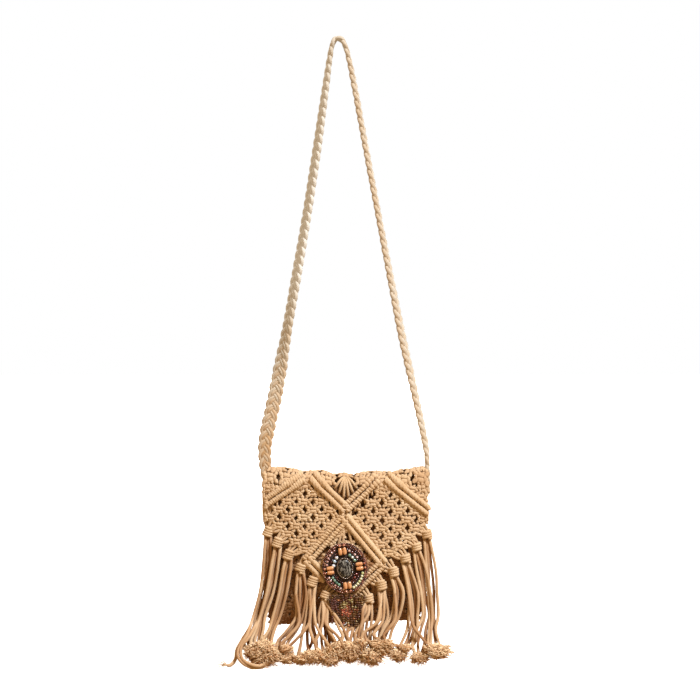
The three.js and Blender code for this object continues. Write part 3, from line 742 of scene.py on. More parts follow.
def rib_path(line, aside, steps=24):
    """The middle of one rib, flat: the line moved aside, and followed over the fold."""
    (x0, d0), (x1, d1) = line
    along = unit(np.array([x1 - x0, d1 - d0]))
    share = np.linspace(-0.02, RIB_SINKS if is_lower(line) and x0 < 0 else 1.02, steps)
    x = np.clip(x0 + (x1 - x0) * share - along[1] * aside, *RIB_REACH)
    drop = np.maximum(d0 + (d1 - d0) * share + along[0] * aside, crest_dip(x) + CREST_CLEAR)
    return np.stack([x, -way_down(x, drop), np.full(steps, RIB_OUT)], -1)


for line in RIBS:
    rises = (line[1, 0] - line[0, 0]) * (line[1, 1] - line[0, 1]) < 0
    for aside in (-RIB_APART, RIB_APART):
        middle = rib_path(line, aside)
        tint = np.clip(0.6 + hand.normal(0, 0.1), 0, 1)
        pitch, starts, steps = LONG_PITCH, LONG_STARTS, LONG_STEPS
        if rises:
            pitch = FAINT_PITCH if line[:, 0].min() <= -BAG_HALF else SQUARE_PITCH
            starts, steps = 1, WRAP_STEPS
        for start in range(starts):
            wraps = coil(middle, (0, 0, 1), pitch, RIB_RING, 2 * np.pi * start / starts, steps)
            flap.cords([wraps], RIB_CORD, 6, tint)
print("points with the ribs:", flap.count)

# %% [markdown]
# Between the ribs and the net the single cords show for a moment, with dark slots between them. They are
# short upright tubes, set out along the rib lines: below the tents, and above the upper sides of the diamond.

# %% Single cords between the ribs and the net
SLOT_APART = 7.0
SLOT_LENGTH = 15
SLOT_CORD = CORD * 0.37


def short_cords(line, downward, first, last):
    """Upright cords that leave a rib line, on its lower or its upper side."""
    (x0, d0), (x1, d1) = line
    share_down = np.linspace(0, 1, 5)
    paths = []
    for share in np.linspace(first, last, int(np.linalg.norm(line[1] - line[0]) / SLOT_APART)):
        x = x0 + (x1 - x0) * share + hand.normal(0, 0.3)
        xs = x + hand.normal(0, 0.8) * share_down
        drops = d0 + (d1 - d0) * share + downward * SLOT_LENGTH * share_down
        paths.append(np.stack([xs, -way_down(xs, drops), np.linspace(3.0, 1.2, 5)], -1))
    return paths


for line in RIBS:
    if line[:, 1].max() < DIAMOND_TOP:
        flap.cords(short_cords(line, 1, 0.04, 0.96), SLOT_CORD)
    elif not is_lower(line):
        flap.cords(short_cords(line, -1, 0.12, 0.98), SLOT_CORD)
print("points with the single cords:", flap.count)

# %% [markdown]
# Two knots have no neighbours below them, at the middle of the fold and at the top of the diamond, so their
# cords open like a fan. Straight cords also run down the two sides of the flap and hold its edges. Each is a
# path of a few points, worked out from where its foot lies.

# %% Fans and side cords
TOP_FAN = [(-14, 24), (-8, 30), (-2, 37), (4.5, 36), (10.5, 30), (16, 24)]
TOP_FAN_HEAD = 10.5
DIAMOND_FAN = [(-17, 98), (-10, 104), (-3.5, 107), (10, 105), (18, 98)]
DIAMOND_FAN_HEAD = 70
SIDE_CORDS = [(99.0, -1.0), (102.9, -0.4), (106.7, 1.4)]
SIDE_CORD_TOP = {-1: STRAP_FOOT - 6, 1: -18}
SIDE_CORD_FOOT = 76
SIDE_CORD_TUCK = 4


def fan(feet, head_drop, spread):
    """Cords that leave one knot side by side and open downwards."""
    paths = []
    share = np.linspace(0, 1, 7)
    for x, drop in feet:
        xs = x * (spread + (1 - spread) * share**0.8)
        drops = head_drop + (drop - head_drop) * share
        out = 0.6 + 2.6 * np.sin(np.pi * share) - 1.6 * share
        paths.append(np.stack([xs, -way_down(xs, drops), out], -1))
    return paths


flap.cords(fan(TOP_FAN, TOP_FAN_HEAD, 0.16), CORD * 0.42, 7, 0.7)
# the fan at the diamond's top is tinted deep, as painted shade
flap.cords(fan(DIAMOND_FAN, DIAMOND_FAN_HEAD, 0.2), CORD * 0.44, 7, 0.3)
edges = []
for side in (-1, 1):
    for x, out in SIDE_CORDS:
        ways = np.linspace(SIDE_CORD_TOP[side], SIDE_CORD_FOOT, 14)
        tucked = np.interp(ways, [SIDE_CORD_FOOT - 12, SIDE_CORD_FOOT], [0, SIDE_CORD_TUCK])
        edges.append(np.stack([side * (x - tucked) + np.sin(ways / 7) * 0.5, -ways, out - tucked], -1))
flap.cords(edges, CORD * 0.5, 7, 0.6)
print("points with the fans and side cords:", flap.count)

# %% [markdown]
# Behind the medallion the diamond is closed by more of the same net. It hardly shows, so the plain knot will
# do. The knots in its right corner lie in the shade of the ribs and get a deep tint. Then the flap is
# complete, and is laid over the bag in one move.

# %% Net of the diamond
DIAMOND_ROOM = 7
DIAMOND_FIRST = 82
SHADE_X = 20
SHADE_DROP = 130
SHADE_TINT = -0.5


def diamond_places():
    levels = [DIAMOND_TOP, DIAMOND_CORNER[1], DIAMOND_BOTTOM]
    places = []
    for row in range(2, 10):
        for column in range(-4, 5):
            x, drop = TIP_X + column * PITCH_HALF, DIAMOND_FIRST + row * ROW
            reach = np.interp(drop, levels, [0, DIAMOND_CORNER[0], 0])
            if (row + column) % 2 and abs(x) < reach - DIAMOND_ROOM:
                places.append((x, drop))
    return places


in_shade = [(x, drop) for x, drop in diamond_places() if x > SHADE_X and drop < SHADE_DROP]
tie(flap, PLAIN_KNOT, [place for place in diamond_places() if place not in in_shade])
tie(flap, PLAIN_KNOT, in_shade, tint=SHADE_TINT)
# painted shade: the flap's knots, ribs and cords are tinted deeper towards their back
flap.shade_to_back(2.5, -3, 0.75).shaped(on_flap)
cotton_piece("flap_net", flap, ["flap"])

# %% [markdown]
# ## Side lacing
# Each side of the pouch is closed by a cord laced over and over round the two panel edges, so the side shows
# as a row of bumps. That is the same coil as a rib's, wound in two starts round a straight cord.

# %% Lacing
LACING_TOP = 30.4
LACING_BOTTOM = 188
LACING_BIGHTS = 11
LACING_OUT = 2.8
LACING_RING = 1.1
LACING_DEEP = 1.3
# paler than the net: painted light, which lifts the lacing where it lies in shade
LACING_TINT = 1.2

for side, word in ((-1, "left"), (1, "right")):
    drops = np.linspace(LACING_TOP, LACING_BOTTOM, 60)
    seam = np.stack([side * (np.interp(drops, FORM_DROP, FORM_HALF) + LACING_OUT), 0 * drops, -drops], -1)
    lacing = Skein()
    lacing.cords([seam], CORD * 0.42, 6, 0.4)
    pitch = (LACING_BOTTOM - LACING_TOP) / LACING_BIGHTS
    for start in (0, np.pi):
        lacing.cords([coil(seam, (1, 0, 0), pitch, LACING_RING, start, 14)], CORD * 0.46, 6, LACING_TINT)
    lacing.shaped(lambda flat: from_bag(flat[:, 0], flat[:, 1] * LACING_DEEP, -flat[:, 2]))
    cotton_piece(f"side_lacing_{word}_cord", lacing, [f"side_lacing_{word}"])

# %% [markdown]
# ## The strap
# The strap is a flat braid of three strands, each of two cords. A strand swings from side to side, and rises
# over and dips under the others twice as often, which is two sine waves. The route is that of the solid,
# within a few millimetres. Its flat side turns as it does on the bag: nearly edge-on round the top and along
# the right leg, and facing the front low down on the left.

# %% Strap
STRAP_ROUTE = [
    # x, z, turn in degrees: 0 shows the front its edge, 90 its face
    (-91, -592, 90), (-95.5, -566, 90), (-96.2, -530, 90), (-82.6, -465, 86), (-68.6, -387, 39),
    (-54.8, -308, 36), (-41.3, -229, 31), (-28.4, -145, 28), (-17.2, -66, 18), (-10.7, -20, 8),
    (-6.6, -1.4, 0), (0.4, 4.2, 0), (7.4, -1.4, 0), (13.7, -20, 6), (23, -66, 11), (37.5, -145, 11),
    (53.3, -229, 12), (68.5, -308, 16), (84, -387, 22), (101.4, -465, 20), (115, -530, 14), (118, -560, 0),
    (118.5, -596, 0),
]
BRAID_PERIOD = 35.0
BRAID_SWING = 5.6
BRAID_RISE = 0.8
BRAID_STRANDS = 3
BRAID_CORD = 2.65
BRAID_PAIR = 1.6
BRAID_STEP = 2.3
TAPER_WAY = [0, 30, 80]
TAPER = [0.3, 0.8, 1.08]
# the strap's tint along its way: painted light, which makes it paler higher up
PAINTED_LIGHT_WAY = [0, 110, 300, 520, 660, 900]
PAINTED_LIGHT_TINT = [-0.05, 0.3, 1.7, 1.5, 0.9, 0.8]


def strap_line():
    """Even points along the strap's route, with the directions of its flat and its thin side."""
    route = smooth(np.array(STRAP_ROUTE, float), 40)
    gone = gone_along(route[:, :2])
    at = np.arange(0, gone[-1], BRAID_STEP)
    x, z, turn = places_along(route, gone, at).T
    centre = np.stack([x, 0 * x, z], -1)
    along = unit(np.gradient(centre, axis=0))
    depth = np.array([0, 1.0, 0])
    angle = np.radians(turn)[:, None]
    flat = np.cos(angle) * depth + np.sin(angle) * np.cross(along, depth)
    return at, centre, along, flat, np.cross(flat, along)


strap_way, centre, along, flat_side, thin_side = strap_line()
strap = Skein()
for strand in range(BRAID_STRANDS):
    phase = 2 * np.pi * (strap_way / BRAID_PERIOD + strand / BRAID_STRANDS)
    swing = BRAID_SWING * np.interp(strap_way, TAPER_WAY, TAPER) * np.sin(phase)
    rise = BRAID_RISE * np.sin(2 * phase)
    lean = BRAID_SWING * np.cos(phase) * 2 * np.pi / BRAID_PERIOD
    for pair in (-1, 1):
        aside = swing + pair * BRAID_PAIR / np.hypot(1, lean)
        ahead = -pair * BRAID_PAIR * lean / np.hypot(1, lean)
        line = centre + aside[:, None] * flat_side + rise[:, None] * thin_side + ahead[:, None] * along
        # painted light along the strap, one cord of each pair painted deeper than the other as painted shade
        # between the strands, and a little tone by strand
        tone_and_painted_light = np.interp(strap_way, PAINTED_LIGHT_WAY, PAINTED_LIGHT_TINT) + 0.24 * pair + 0.05 * (strand - 1)
        strap.cords([line], BRAID_CORD, 6, tone_and_painted_light[None])
cotton_piece("strap_braid", strap, ["strap"], COTTON_STRAP)
print("strap length:", round(float(strap_way[-1])), "mm")

# %% [markdown]
# ## The tassels
# Along the V edge the net cords are gathered in bunches. A bunch is bound by one cord wound three times round
# it, and from there its cords fall past the pouch, sweep outwards and come to rest on the floor, where their
# ends are unlaid into fibres. No rule gives where each bunch lies, so a short table does.

# %% Tassel facts
LEVELS = [130, 160, 190, 208, 225]
# knot: distance from the V's middle; bunch: where its cords hang at the five levels; opens: how far they part
# at the lowest; frays: where the frayed ends lie, their height over the floor and their half size
Tassel = namedtuple("Tassel", "name knot bunch opens frays")
TASSELS = [
    Tassel("left_1", -103.6, (-103, -107, -115, -120, -129), 1.2, [(-119, 20, 14)]),
    Tassel("left_2", -91, (-93, -100, -108, -112, -116), 1.2,
           [(-105, 17, 20), (-106, 24, 17), (-107, 11, 18)]),
    Tassel("left_3", -76.5, (-75, -82, -90, -97, -103), 1.1, [(-95, 15, 14)]),
    Tassel("left_4", -61, (-57, -58, -62, -69, -82), 1.3, [(-76, 11, 12)]),
    Tassel("left_5", -45, (-42, -44, -47, -47, -46), 2.0, [(-59, 9, 10), (-44, 13, 15)]),
    Tassel("left_6", -28, (-26, -27, -28, -26, -23), 1.6, [(-21, 12, 17)]),
    Tassel("right_6", 28, (30, 29, 28, 25, 22), 1.3, [(6, 16, 15)]),
    Tassel("right_5", 45, (48, 52, 49, 42, 40), 1.2, [(33, 14, 18)]),
    Tassel("right_4", 61, (65, 70, 66, 55, 50), 1.1, [(51, 22, 12)]),
    Tassel("right_3", 76.5, (83, 88, 89, 87, 81), 1.1, [(69, 16, 14)]),
    Tassel("right_2", 91, (100, 104, 107, 103, 99), 2.0, [(97, 12, 13)]),
    Tassel("right_1", 105, (113, 115, 116, 115, 114), 1.1, [(119, 20, 17)]),
]
LOOSE_CORDS = {
    # more cords, which part from their tassel and lie across the others: (x, y, drop) on the way to a small
    # frayed end
    "left_4": [((-60, -36, 196), (-72, -42, 213), (-84, -46, 227), (-72, -49, 239), (-56, -50, 244))],
    "left_5": [((-46, -36, 192), (-52, -40, 206), (-63, -44, 218), (-76, -47, 230)),
               ((-46, -36, 196), (-44, -42, 213), (-38, -46, 227), (-32, -49, 240)),
               ((-40, -36, 190), (-36, -41, 205), (-27, -45, 218), (-18, -48, 232))],
    "left_6": [((-12, -36, 190), (-4, -40, 202), (2, -43, 214), (9, -46, 227)),
               ((-24, -35, 196), (-22, -40, 206), (-14, -44, 219), (-8, -47, 234)),
               ((-14, -35, 192), (-8, -40, 205), (-3, -44, 215), (-9, -47, 228)),
               ((-27, -36, 194), (-21, -41, 204), (-11, -44, 213), (-1, -47, 226)),
               ((-29, -36, 194), (-33, -41, 209), (-39, -45, 222), (-36, -48, 236))],
    "right_6": [((23, -36, 182), (22, -38, 198), (17.5, -42, 212), (18, -45, 226)),
                ((27, -30, 186), (12, -29, 199), (-1, -33, 205), (1, -40, 216), (7, -46, 228)),
                ((30, -34, 188), (19, -37, 203), (13, -42, 213), (15, -47, 229)),
                ((25, -30, 186), (9, -29, 200), (6, -34, 207), (-4, -42, 216), (-10, -47, 226)),
                ((26, -30, 186), (12, -29, 198), (4, -32, 204), (3, -40, 216), (2, -46, 228)),
                ((28, -30, 186), (16, -29, 199), (9, -33, 205), (12, -40, 216), (13, -46, 228)),
                ((29, -31, 186), (22, -31, 199), (12, -33, 205), (8, -41, 215), (5, -47, 230))],
    "right_5": [((46, -36, 190), (35, -40, 203), (26, -43, 210), (28, -46, 219), (41, -48, 225)),
                ((50, -35, 192), (42, -40, 205), (37, -44, 213), (46, -47, 220), (55, -48, 224)),
                ((44, -37, 188), (38, -41, 200), (24, -44, 210), (21, -47, 222))],
    "right_4": [((66, -36, 190), (58, -40, 204), (50, -44, 214), (58, -47, 223), (78, -48, 229))],
    "right_3": [((86, -36, 192), (90, -40, 204), (98, -44, 214), (110, -47, 230))],
}
print("tassels:", len(TASSELS), "loose cords:", sum(len(routes) for routes in LOOSE_CORDS.values()))

# %% [markdown]
# The gathering knot is a coil once more, wound round the four cords that come in from the V edge. The knots
# lean with the pull of their cords, on the left more than on the right.

# %% Gathering knots
GATHER = [(-5, 8.5, 1.0), (1.5, 6.5, 1.8)]  # past the V edge, half width of the cords there, out
GATHER_WAIST = 3.4
KNOT_RADIUS = 6.2
KNOT_OFF = 0.9
KNOT_SHIFT = {-1: -3, 1: 2}
KNOT_LEAN = {-1: -0.42, 1: 0.14}
WRAP_TURNS = 3.3
WRAP_PITCH = 3.1
WRAP_RING = 5.0
WRAP_CORD = 2.3


def gathering(skein, tassel):
    """The cords from the V edge into the knot, and the cord wound round them. Returns the knot's place."""
    side = np.sign(tassel.knot)
    x, drop = TIP_X + tassel.knot, knot_drop(abs(tassel.knot)) + KNOT_SHIFT[side]
    y = -pouch_front(x, drop) - KNOT_RADIUS - KNOT_OFF
    out = unit(np.array([side * EDGE_SLOPE, 1.0]))
    edge = np.array([x, drop]) - out * KNOT_ROW_CLEAR
    along = np.array([out[1], -out[0]])
    paths = []
    for share in (-1, -0.33, 0.33, 1):
        spots = [edge + along * share * half + out * past for past, half, _ in GATHER]
        top = on_flap(np.array([(*spot * [1, -1], lift) for spot, (_, _, lift) in zip(spots, GATHER)]))
        knot = from_bag(x + share * GATHER_WAIST, y + (abs(share) - 0.5) * 3, drop)
        paths.append(smooth([*top, (top[1] + 2 * knot) / 3 + [0, -0.8, 0], knot], 4))
    skein.cords(paths, CORD * 0.46)
    tall = WRAP_TURNS * WRAP_PITCH
    upright = np.linspace(-0.5, 0.5, 12)[:, None] * [-KNOT_LEAN[side] * tall, 0, tall]
    wound = coil(upright + from_bag(x, y, drop), (0, -1, 0), WRAP_PITCH, WRAP_RING, hand.uniform(0, 6), 16)
    skein.cords([wound], WRAP_CORD, 7, np.clip(0.65 + hand.normal(0, 0.15), 0, 1))
    return x, y, drop


print("a knot is", round(WRAP_TURNS * WRAP_PITCH + 2 * WRAP_CORD, 1), "mm tall")

# %% [markdown]
# Below its knot a tassel has four cords, which keep their order as they fall, part a little and lean forward
# to the floor. A simulation could drop them, but each bunch has to lie where the real one does, so a path is
# led through the five levels of the table with a small stray at each. Some cords are then led away to the
# side, and the outermost on the left ends in a stray cord and a coil on the floor.

# %% Falling cords
BUNCH_PLACES = [(-1, -1), (0.95, -0.4), (0.3, 1.0), (-0.35, 0.4)]
BUNCH_APART = 3.6
BUNCH_OPEN = {-1: 5.0, 1: 6.2}
BUNCH_BEHIND = 2.8
BUNCH_STRAY = 1.1
FALL_CORD = 2.15
FRAY_Y = -46
STRAY_CORD = [(-140, -44, 229), (-142, -50, 242), (-147, -54, 249.5), (-153, -55, 251.2)]
STRAY_ENDS = [(-12, 6), (-13, 1.5), (-11, -1.5), (-6, 6.5), (-7, -2)]
COIL_MIDDLE = np.array([-108, -46, 236])
COIL_ROUTE = np.array([(-128, -44, 212), (-138, -50, 226), (-139, -58, 239), (-128, -64, 249),
                       (-111, -62, 252), (-97, -52, 247)])
COIL_SIZES = (1.0, 0.86)
COIL_GAIN = 0.3


def falling(tassel, place):
    """The paths of a tassel's cords from its knot to its frayed ends."""
    x, y, drop = place
    hang_y = -pouch_front(x, 115) - 8
    paths = []
    for index, (aside, layer) in enumerate(BUNCH_PLACES):
        foot, height, size = tassel.frays[index % len(tassel.frays)]
        layer = layer * BUNCH_BEHIND
        points = [(x + aside * BUNCH_APART, y + layer * 0.5, drop + 5)]
        for level, bunch in zip(LEVELS, tassel.bunch):
            if level > drop + 18:
                forward = np.interp(level, [LEVELS[2], FLOOR_DROP], [0, FRAY_Y - hang_y])
                spread = BUNCH_OPEN[np.sign(x)] * np.interp(level, [LEVELS[2], LEVELS[4]], [1, tassel.opens])
                at = bunch + aside * spread + hand.normal(0, BUNCH_STRAY)
                points.append((at, hang_y + layer + forward, level))
        low = height + hand.normal(0, 0.15) * size
        points.append((foot + aside * size * 0.35, FRAY_Y + layer, FLOOR_DROP - max(2.5, low)))
        paths.append(smooth(from_bag(*np.array(points).T), 4))
    return paths


def led_away(path, route):
    """The upper part of a cord's path, led on along another route."""
    led = from_bag(*np.array(route).T)
    upper = path[path[:, 2] > led[0, 2] + 15]
    return smooth([path[0], *upper[4::4], *led], 4)


def lay(skein, path, tone, gain):
    """One falling cord, a little uneven in thickness and shade, which gains so much tint towards its end."""
    waves = np.sin(np.linspace(0, hand.uniform(8, 15), len(path)) + hand.uniform(0, 6))
    shade = tone + 0.15 * waves + np.linspace(0, gain, len(path))
    skein.cords([path], FALL_CORD * (1 + 0.08 * waves), 7, shade[None])


def outermost(skein, falls, tone, gain):
    """The stray cord with its split end, and the cords that lie coiled in front of the clump."""
    stray = led_away(falls[0], STRAY_CORD)
    lay(skein, stray, tone, gain)
    for across, up in STRAY_ENDS:
        end = stray[-1] + [across, hand.normal(0, 2), up]
        split = smooth([stray[-2], stray[-1], (stray[-1] + end) / 2 + [0, 0, 1], end], 4)
        skein.cords([split], np.linspace(1.3, 0.5, 13), 5, 0.6)
    for fall, size in zip(falls, COIL_SIZES):
        route = COIL_MIDDLE + (COIL_ROUTE - COIL_MIDDLE) * [size, 2 - size, size]
        route += hand.normal(0, 0.8, route.shape)
        lay(skein, led_away(fall, route), tone, COIL_GAIN)


print("cords in the bunches:", len(TASSELS) * len(BUNCH_PLACES))

# %% [markdown]
# The frayed end of a cord is a tuft of short, nearly straight fibres that point more or less the same way. A
# particle system could grow them, but it would have to be made a mesh again, so they are tubes as well, with
# three sides, which is enough for something so fine. A matted core fills the middle, where no light goes.

# %% Frayed ends
FIBRE_SHARE = 1.95
FIBRE_POINTS = 5
FIBRE_THICK = 0.56
FIBRE_FLOOR = 0.5
FRAY_FORM = np.array([1.15, 1, 0.75])
FRAY_CORE = 0.62
FRAY_HEADING = {"right_1": ((1.2, -0.2, -0.1), 0.4), "others": ((0, -0.3, -0.5), 0.6)}
BRUSH = 7
LOOSE_FRAY = 10


def fray(skein, middle, size, heading, spread):
    """A tuft of short fibres round a matted core, with painted light at its top and painted shade below."""
    count = int(size * size * FIBRE_SHARE)
    share = np.linspace(-0.4, 0.6, FIBRE_POINTS)[None, :, None]
    spot = unit(hand.normal(0, 1, (count, 1, 3))) * hand.uniform(0.3, 0.8, (count, 1, 1))
    ahead = unit(hand.normal(0, spread, (count, 1, 3)) + heading) * hand.uniform(0.35, 0.9, (count, 1, 1))
    bent = hand.normal(0, 0.3, (count, 1, 3)) * share**2
    paths = middle + (spot + ahead * share + bent) * size * FRAY_FORM
    floor = -BAG_DROP - FLOOR_DROP + FIBRE_FLOOR
    paths[:, :, 2] = np.maximum(paths[:, :, 2], floor + hand.uniform(0, 1.5, (count, 1)))
    thick = FIBRE_THICK * np.linspace(1.1, 0.7, FIBRE_POINTS)
    height = (paths[:, -1, 2] - middle[2]) / (2 * size * FRAY_FORM[2]) + 0.5
    # the tint rises with height: painted light at the top, painted shade low down, and some tone at random
    skein.cords(paths, thick, 3, np.clip(0.2 + 0.65 * height + hand.normal(0, 0.26, count), 0, 1))
    across = np.linspace(-0.98, 0.98, 9)
    core = middle + across[:, None] * [FRAY_CORE * size * FRAY_FORM[0], 0, 0]
    reach = min(FRAY_CORE * size * FRAY_FORM[2], middle[2] - floor) * np.sqrt(1 - across**2)
    skein.cords([core], reach, 10, 0.35)


largest = max(size for tassel in TASSELS for _, _, size in tassel.frays)
print("fibres in the largest tuft:", int(largest * largest * FIBRE_SHARE))

# %% [markdown]
# Now every tassel is put together: its knot, its cords and a tuft on each end. The cords and the tufts are
# two pieces, because fibres have another finish. The fringe on the left is turned from the light and gets
# painted shade, and the cords further back in a bunch are painted deeper, as painted shade. Its outer bunches
# grow paler towards the floor, and all the others grow deeper towards it, as painted shade.

# %% Tassels
# painted shade: the left fringe, the cords further back in a bunch and the lower ends of the inner bunches
# are tinted deeper
CORD_TONE = {-1: -0.22, 1: 0.15}
OUTER_KNOT = -70
OUTER_GAIN = 0.5
INNER_SHADE_GAIN = -0.5
LAYER_SHADE = -0.4

for tassel in TASSELS:
    cords, tuft = Skein(), Skein()
    falls = falling(tassel, gathering(cords, tassel))
    tone = CORD_TONE[np.sign(tassel.knot)]
    gain = OUTER_GAIN if tassel.knot < OUTER_KNOT else INNER_SHADE_GAIN
    if tassel.name == "left_1":
        outermost(cords, falls, tone, gain)
    for number, route in enumerate(LOOSE_CORDS.get(tassel.name, [])):
        path = led_away(falls[number % len(falls)], route)
        lay(cords, path, 0.2 * (number % 3), gain)
        fray(tuft, path[-1], LOOSE_FRAY, unit(path[-1] - path[-3]), 0.4)
    for (_, layer), path in zip(BUNCH_PLACES, falls):
        lay(cords, path, np.clip(tone + LAYER_SHADE * layer + hand.normal(0, 0.15), -0.65, 0.8), gain)
        fray(tuft, path[-1], BRUSH, unit(path[-1] - path[-3]), 0.3)
    for foot, height, size in tassel.frays:
        heading = FRAY_HEADING.get(tassel.name, FRAY_HEADING["others"])
        fray(tuft, from_bag(foot, FRAY_Y, FLOOR_DROP - height), size, *heading)
    node = f"tassel_{tassel.name}"
    cotton_piece(f"{node}_cords", cords, [node])
    cotton_piece(f"{node}_fray", tuft, [node], COTTON_FRAYED)

# %% [markdown]
# ## The medallion
# An oval of dark felt carries the bead work: a domed black stone in a narrow bezel, four pairs of orange
# barrel beads, short rows of larger glass beads between them, and small plum seed beads that fill the rest
# and make the rim. It hangs a little tilted. Its parts are modelled flat, facing up, because that is how they
# are sewn and the easiest way to place them, and each is then stood up in front of the flap in one move.

# %% Where the medallion hangs
MEDALLION_X = -0.3
MEDALLION_DROP = 127
MEDALLION_BACK_Y = -31.5
MEDALLION_TILT = math.radians(8.5)
SEAT = 2.75

medallion_middle = Vector((BAG_CENTRE + MEDALLION_X, MEDALLION_BACK_Y, -BAG_DROP - MEDALLION_DROP)) * MM
hung = Matrix.Translation(medallion_middle)
MEDALLION_PLACE = hung @ Matrix.Rotation(math.pi / 2, 4, "X") @ Matrix.Rotation(MEDALLION_TILT, 4, "Z")


def hang(piece, name, material, slot, node):
    """Names a part of the medallion, moves its mesh to its place and gives it its finish."""
    piece.name = piece.data.name = name
    piece.data.transform(MEDALLION_PLACE)
    piece.data.materials.clear()
    piece.data.materials.append(material)
    return settle(piece, slot, node)


print("the medallion's middle:", [round(v, 4) for v in MEDALLION_PLACE.translation])

# %% [markdown]
# The backing is cut from felt: a cylinder pressed to an oval, with a smaller pad behind it that the thread is
# tied to. It is modelled as by hand. The pad is the back face, inset and pulled out, and a bevel softens all
# the cut edges. An operator acts on all that is selected, so the two helpers first select one piece alone.

# %% Backing
BACKING_ACROSS = 29.5
BACKING_UP = 33
BACKING_THICK = 2.4
PAD_INSET = 13.5
PAD_DEPTH = 2.2
CUT_EDGE = 0.5


def only(piece):
    bpy.ops.object.select_all(action="DESELECT")
    piece.select_set(True)
    bpy.context.view_layer.objects.active = piece


def pick(piece, keep):
    """Enters edit mode on this piece alone, with the faces selected that the test keeps."""
    only(piece)
    bpy.ops.object.mode_set(mode="EDIT")
    bpy.ops.mesh.select_all(action="DESELECT")
    bpy.ops.object.mode_set(mode="OBJECT")
    for face in piece.data.polygons:
        face.select = bool(keep(face))
    bpy.ops.object.mode_set(mode="EDIT")
    bpy.ops.mesh.select_mode(type="FACE")


felt = Finish("dark_felt", Roughness=0.95, Sheen_Weight=0.3)
nap = felt.noise(felt.node("ShaderNodeTexCoord", output=3), 900.0, 4.0)
felt.finished(bump=(nap, 0.5, 0.0004), Base_Color=felt.mix(colour(32, 20, 17), colour(62, 42, 34), nap))

bpy.ops.mesh.primitive_cylinder_add(
    vertices=72, radius=BACKING_ACROSS * MM, depth=BACKING_THICK * MM, location=(0, 0, BACKING_THICK * MM / 2)
)
backing = bpy.context.object
bpy.ops.object.transform_apply()
pick(backing, lambda face: face.normal.z < -0.5)
bpy.ops.mesh.inset(thickness=PAD_INSET * MM)
bpy.ops.mesh.extrude_region_move(TRANSFORM_OT_translate={"value": (0, 0, -PAD_DEPTH * MM)})
bpy.ops.mesh.select_all(action="SELECT")
bpy.ops.transform.resize(value=(1, BACKING_UP / BACKING_ACROSS, 1), center_override=(0, 0, 0))
bpy.ops.object.mode_set(mode="OBJECT")
softened = backing.modifiers.new("Bevel", "BEVEL")
softened.width = CUT_EDGE * MM
softened.segments = 2
softened.angle_limit = math.radians(40)
bpy.ops.object.modifier_apply(modifier=softened.name)
bpy.ops.object.shade_smooth_by_angle(angle=math.radians(40))
hang(backing, "medallion_felt", felt.material, "dark_felt", "medallion_backing")

# %% [markdown]
# The stone is black glass with pale, wavering streaks deep in it, which are noise drawn out along its length.
# It starts as a ball, cut off flat a little below its middle and pressed to an oval dome, so that its edge
# stays round where it meets the bezel.

# %% Stone
STONE_ACROSS = 9.3
STONE_UP = 12.5
STONE_RISE = 5.4
STONE_CUT = 0.25
STREAK_SCALE = 560.0
STREAK_LEAN = math.radians(18)

stone = Finish("black_stone", Roughness=0.24, Coat_Weight=0.04, Coat_Roughness=0.1, Specular_IOR_Level=0.12)
stone_place = stone.node("ShaderNodeTexCoord", output=3)
leaning = {"Vector": stone_place, "Scale": (1.0, 1.0, 0.5), "Rotation": (0, STREAK_LEAN, 0)}
streaks = stone.noise(stone.node("ShaderNodeMapping", None, leaning), STREAK_SCALE, 3.0)
veins = (streaks - 0.47) * 4.0
stone.finished(Base_Color=stone.mix(colour(30, 27, 26), colour(162, 160, 150), veins))

bpy.ops.mesh.primitive_uv_sphere_add(segments=48, ring_count=24, radius=MM, location=(0, 0, 0))
dome = bpy.context.object
only(dome)
bpy.ops.object.mode_set(mode="EDIT")
bpy.ops.mesh.select_all(action="SELECT")
bpy.ops.mesh.bisect(plane_co=(0, 0, -STONE_CUT * MM), plane_no=(0, 0, 1), use_fill=True, clear_inner=True)
bpy.ops.mesh.select_all(action="SELECT")
stone_scale = (STONE_ACROSS, STONE_UP, STONE_RISE / (1 + STONE_CUT))
bpy.ops.transform.resize(value=stone_scale, center_override=(0, 0, 0))
bpy.ops.transform.translate(value=(0, 0, (SEAT + stone_scale[2] * STONE_CUT) * MM))
bpy.ops.mesh.normals_make_consistent(inside=False)
bpy.ops.object.mode_set(mode="OBJECT")
bpy.ops.object.shade_smooth_by_angle(angle=math.radians(50))
hang(dome, "cabochon_stone", stone.material, "black_stone", "cabochon")

# %% [markdown]
# A barrel bead is turned from orange wood, so it is made the way a lathe makes it: a circle, extruded and
# widened step by step along the bead. It is modelled once, and each of the eight places gets a copy with its
# own mesh.

# %% Barrel beads
BARREL_HALF = 4.6
BARREL_PROFILE = [(0.7, -0.96), (1.5, -1.0), (2.1, -0.9), (2.5, -0.6), (2.7, -0.2), (2.7, 0.2), (2.5, 0.6),
                  (2.1, 0.9), (1.5, 1.0), (0.7, 0.96)]
BARREL_RADIUS = max(radius for radius, _ in BARREL_PROFILE)
BARREL_APART = 2.85
BARREL_UP = 22.5
BARREL_ACROSS = 19.2

wood = Finish("orange_barrels", Roughness=0.3, Coat_Weight=0.6, Coat_Roughness=0.14)
wood_place = wood.node("ShaderNodeTexCoord", output=3)
mottle = wood.noise(wood_place, 260.0, 3.0)
flecks = wood.noise(wood_place, 1500.0)
warm = wood.mix(colour(182, 112, 62), colour(232, 182, 132), mottle * 1.6 - 0.3)
flecked = wood.mix(warm, colour(140, 78, 36), flecks * 0.7 - 0.2)
wood.finished(bump=(flecks, 0.2, 0.0001), Base_Color=flecked)


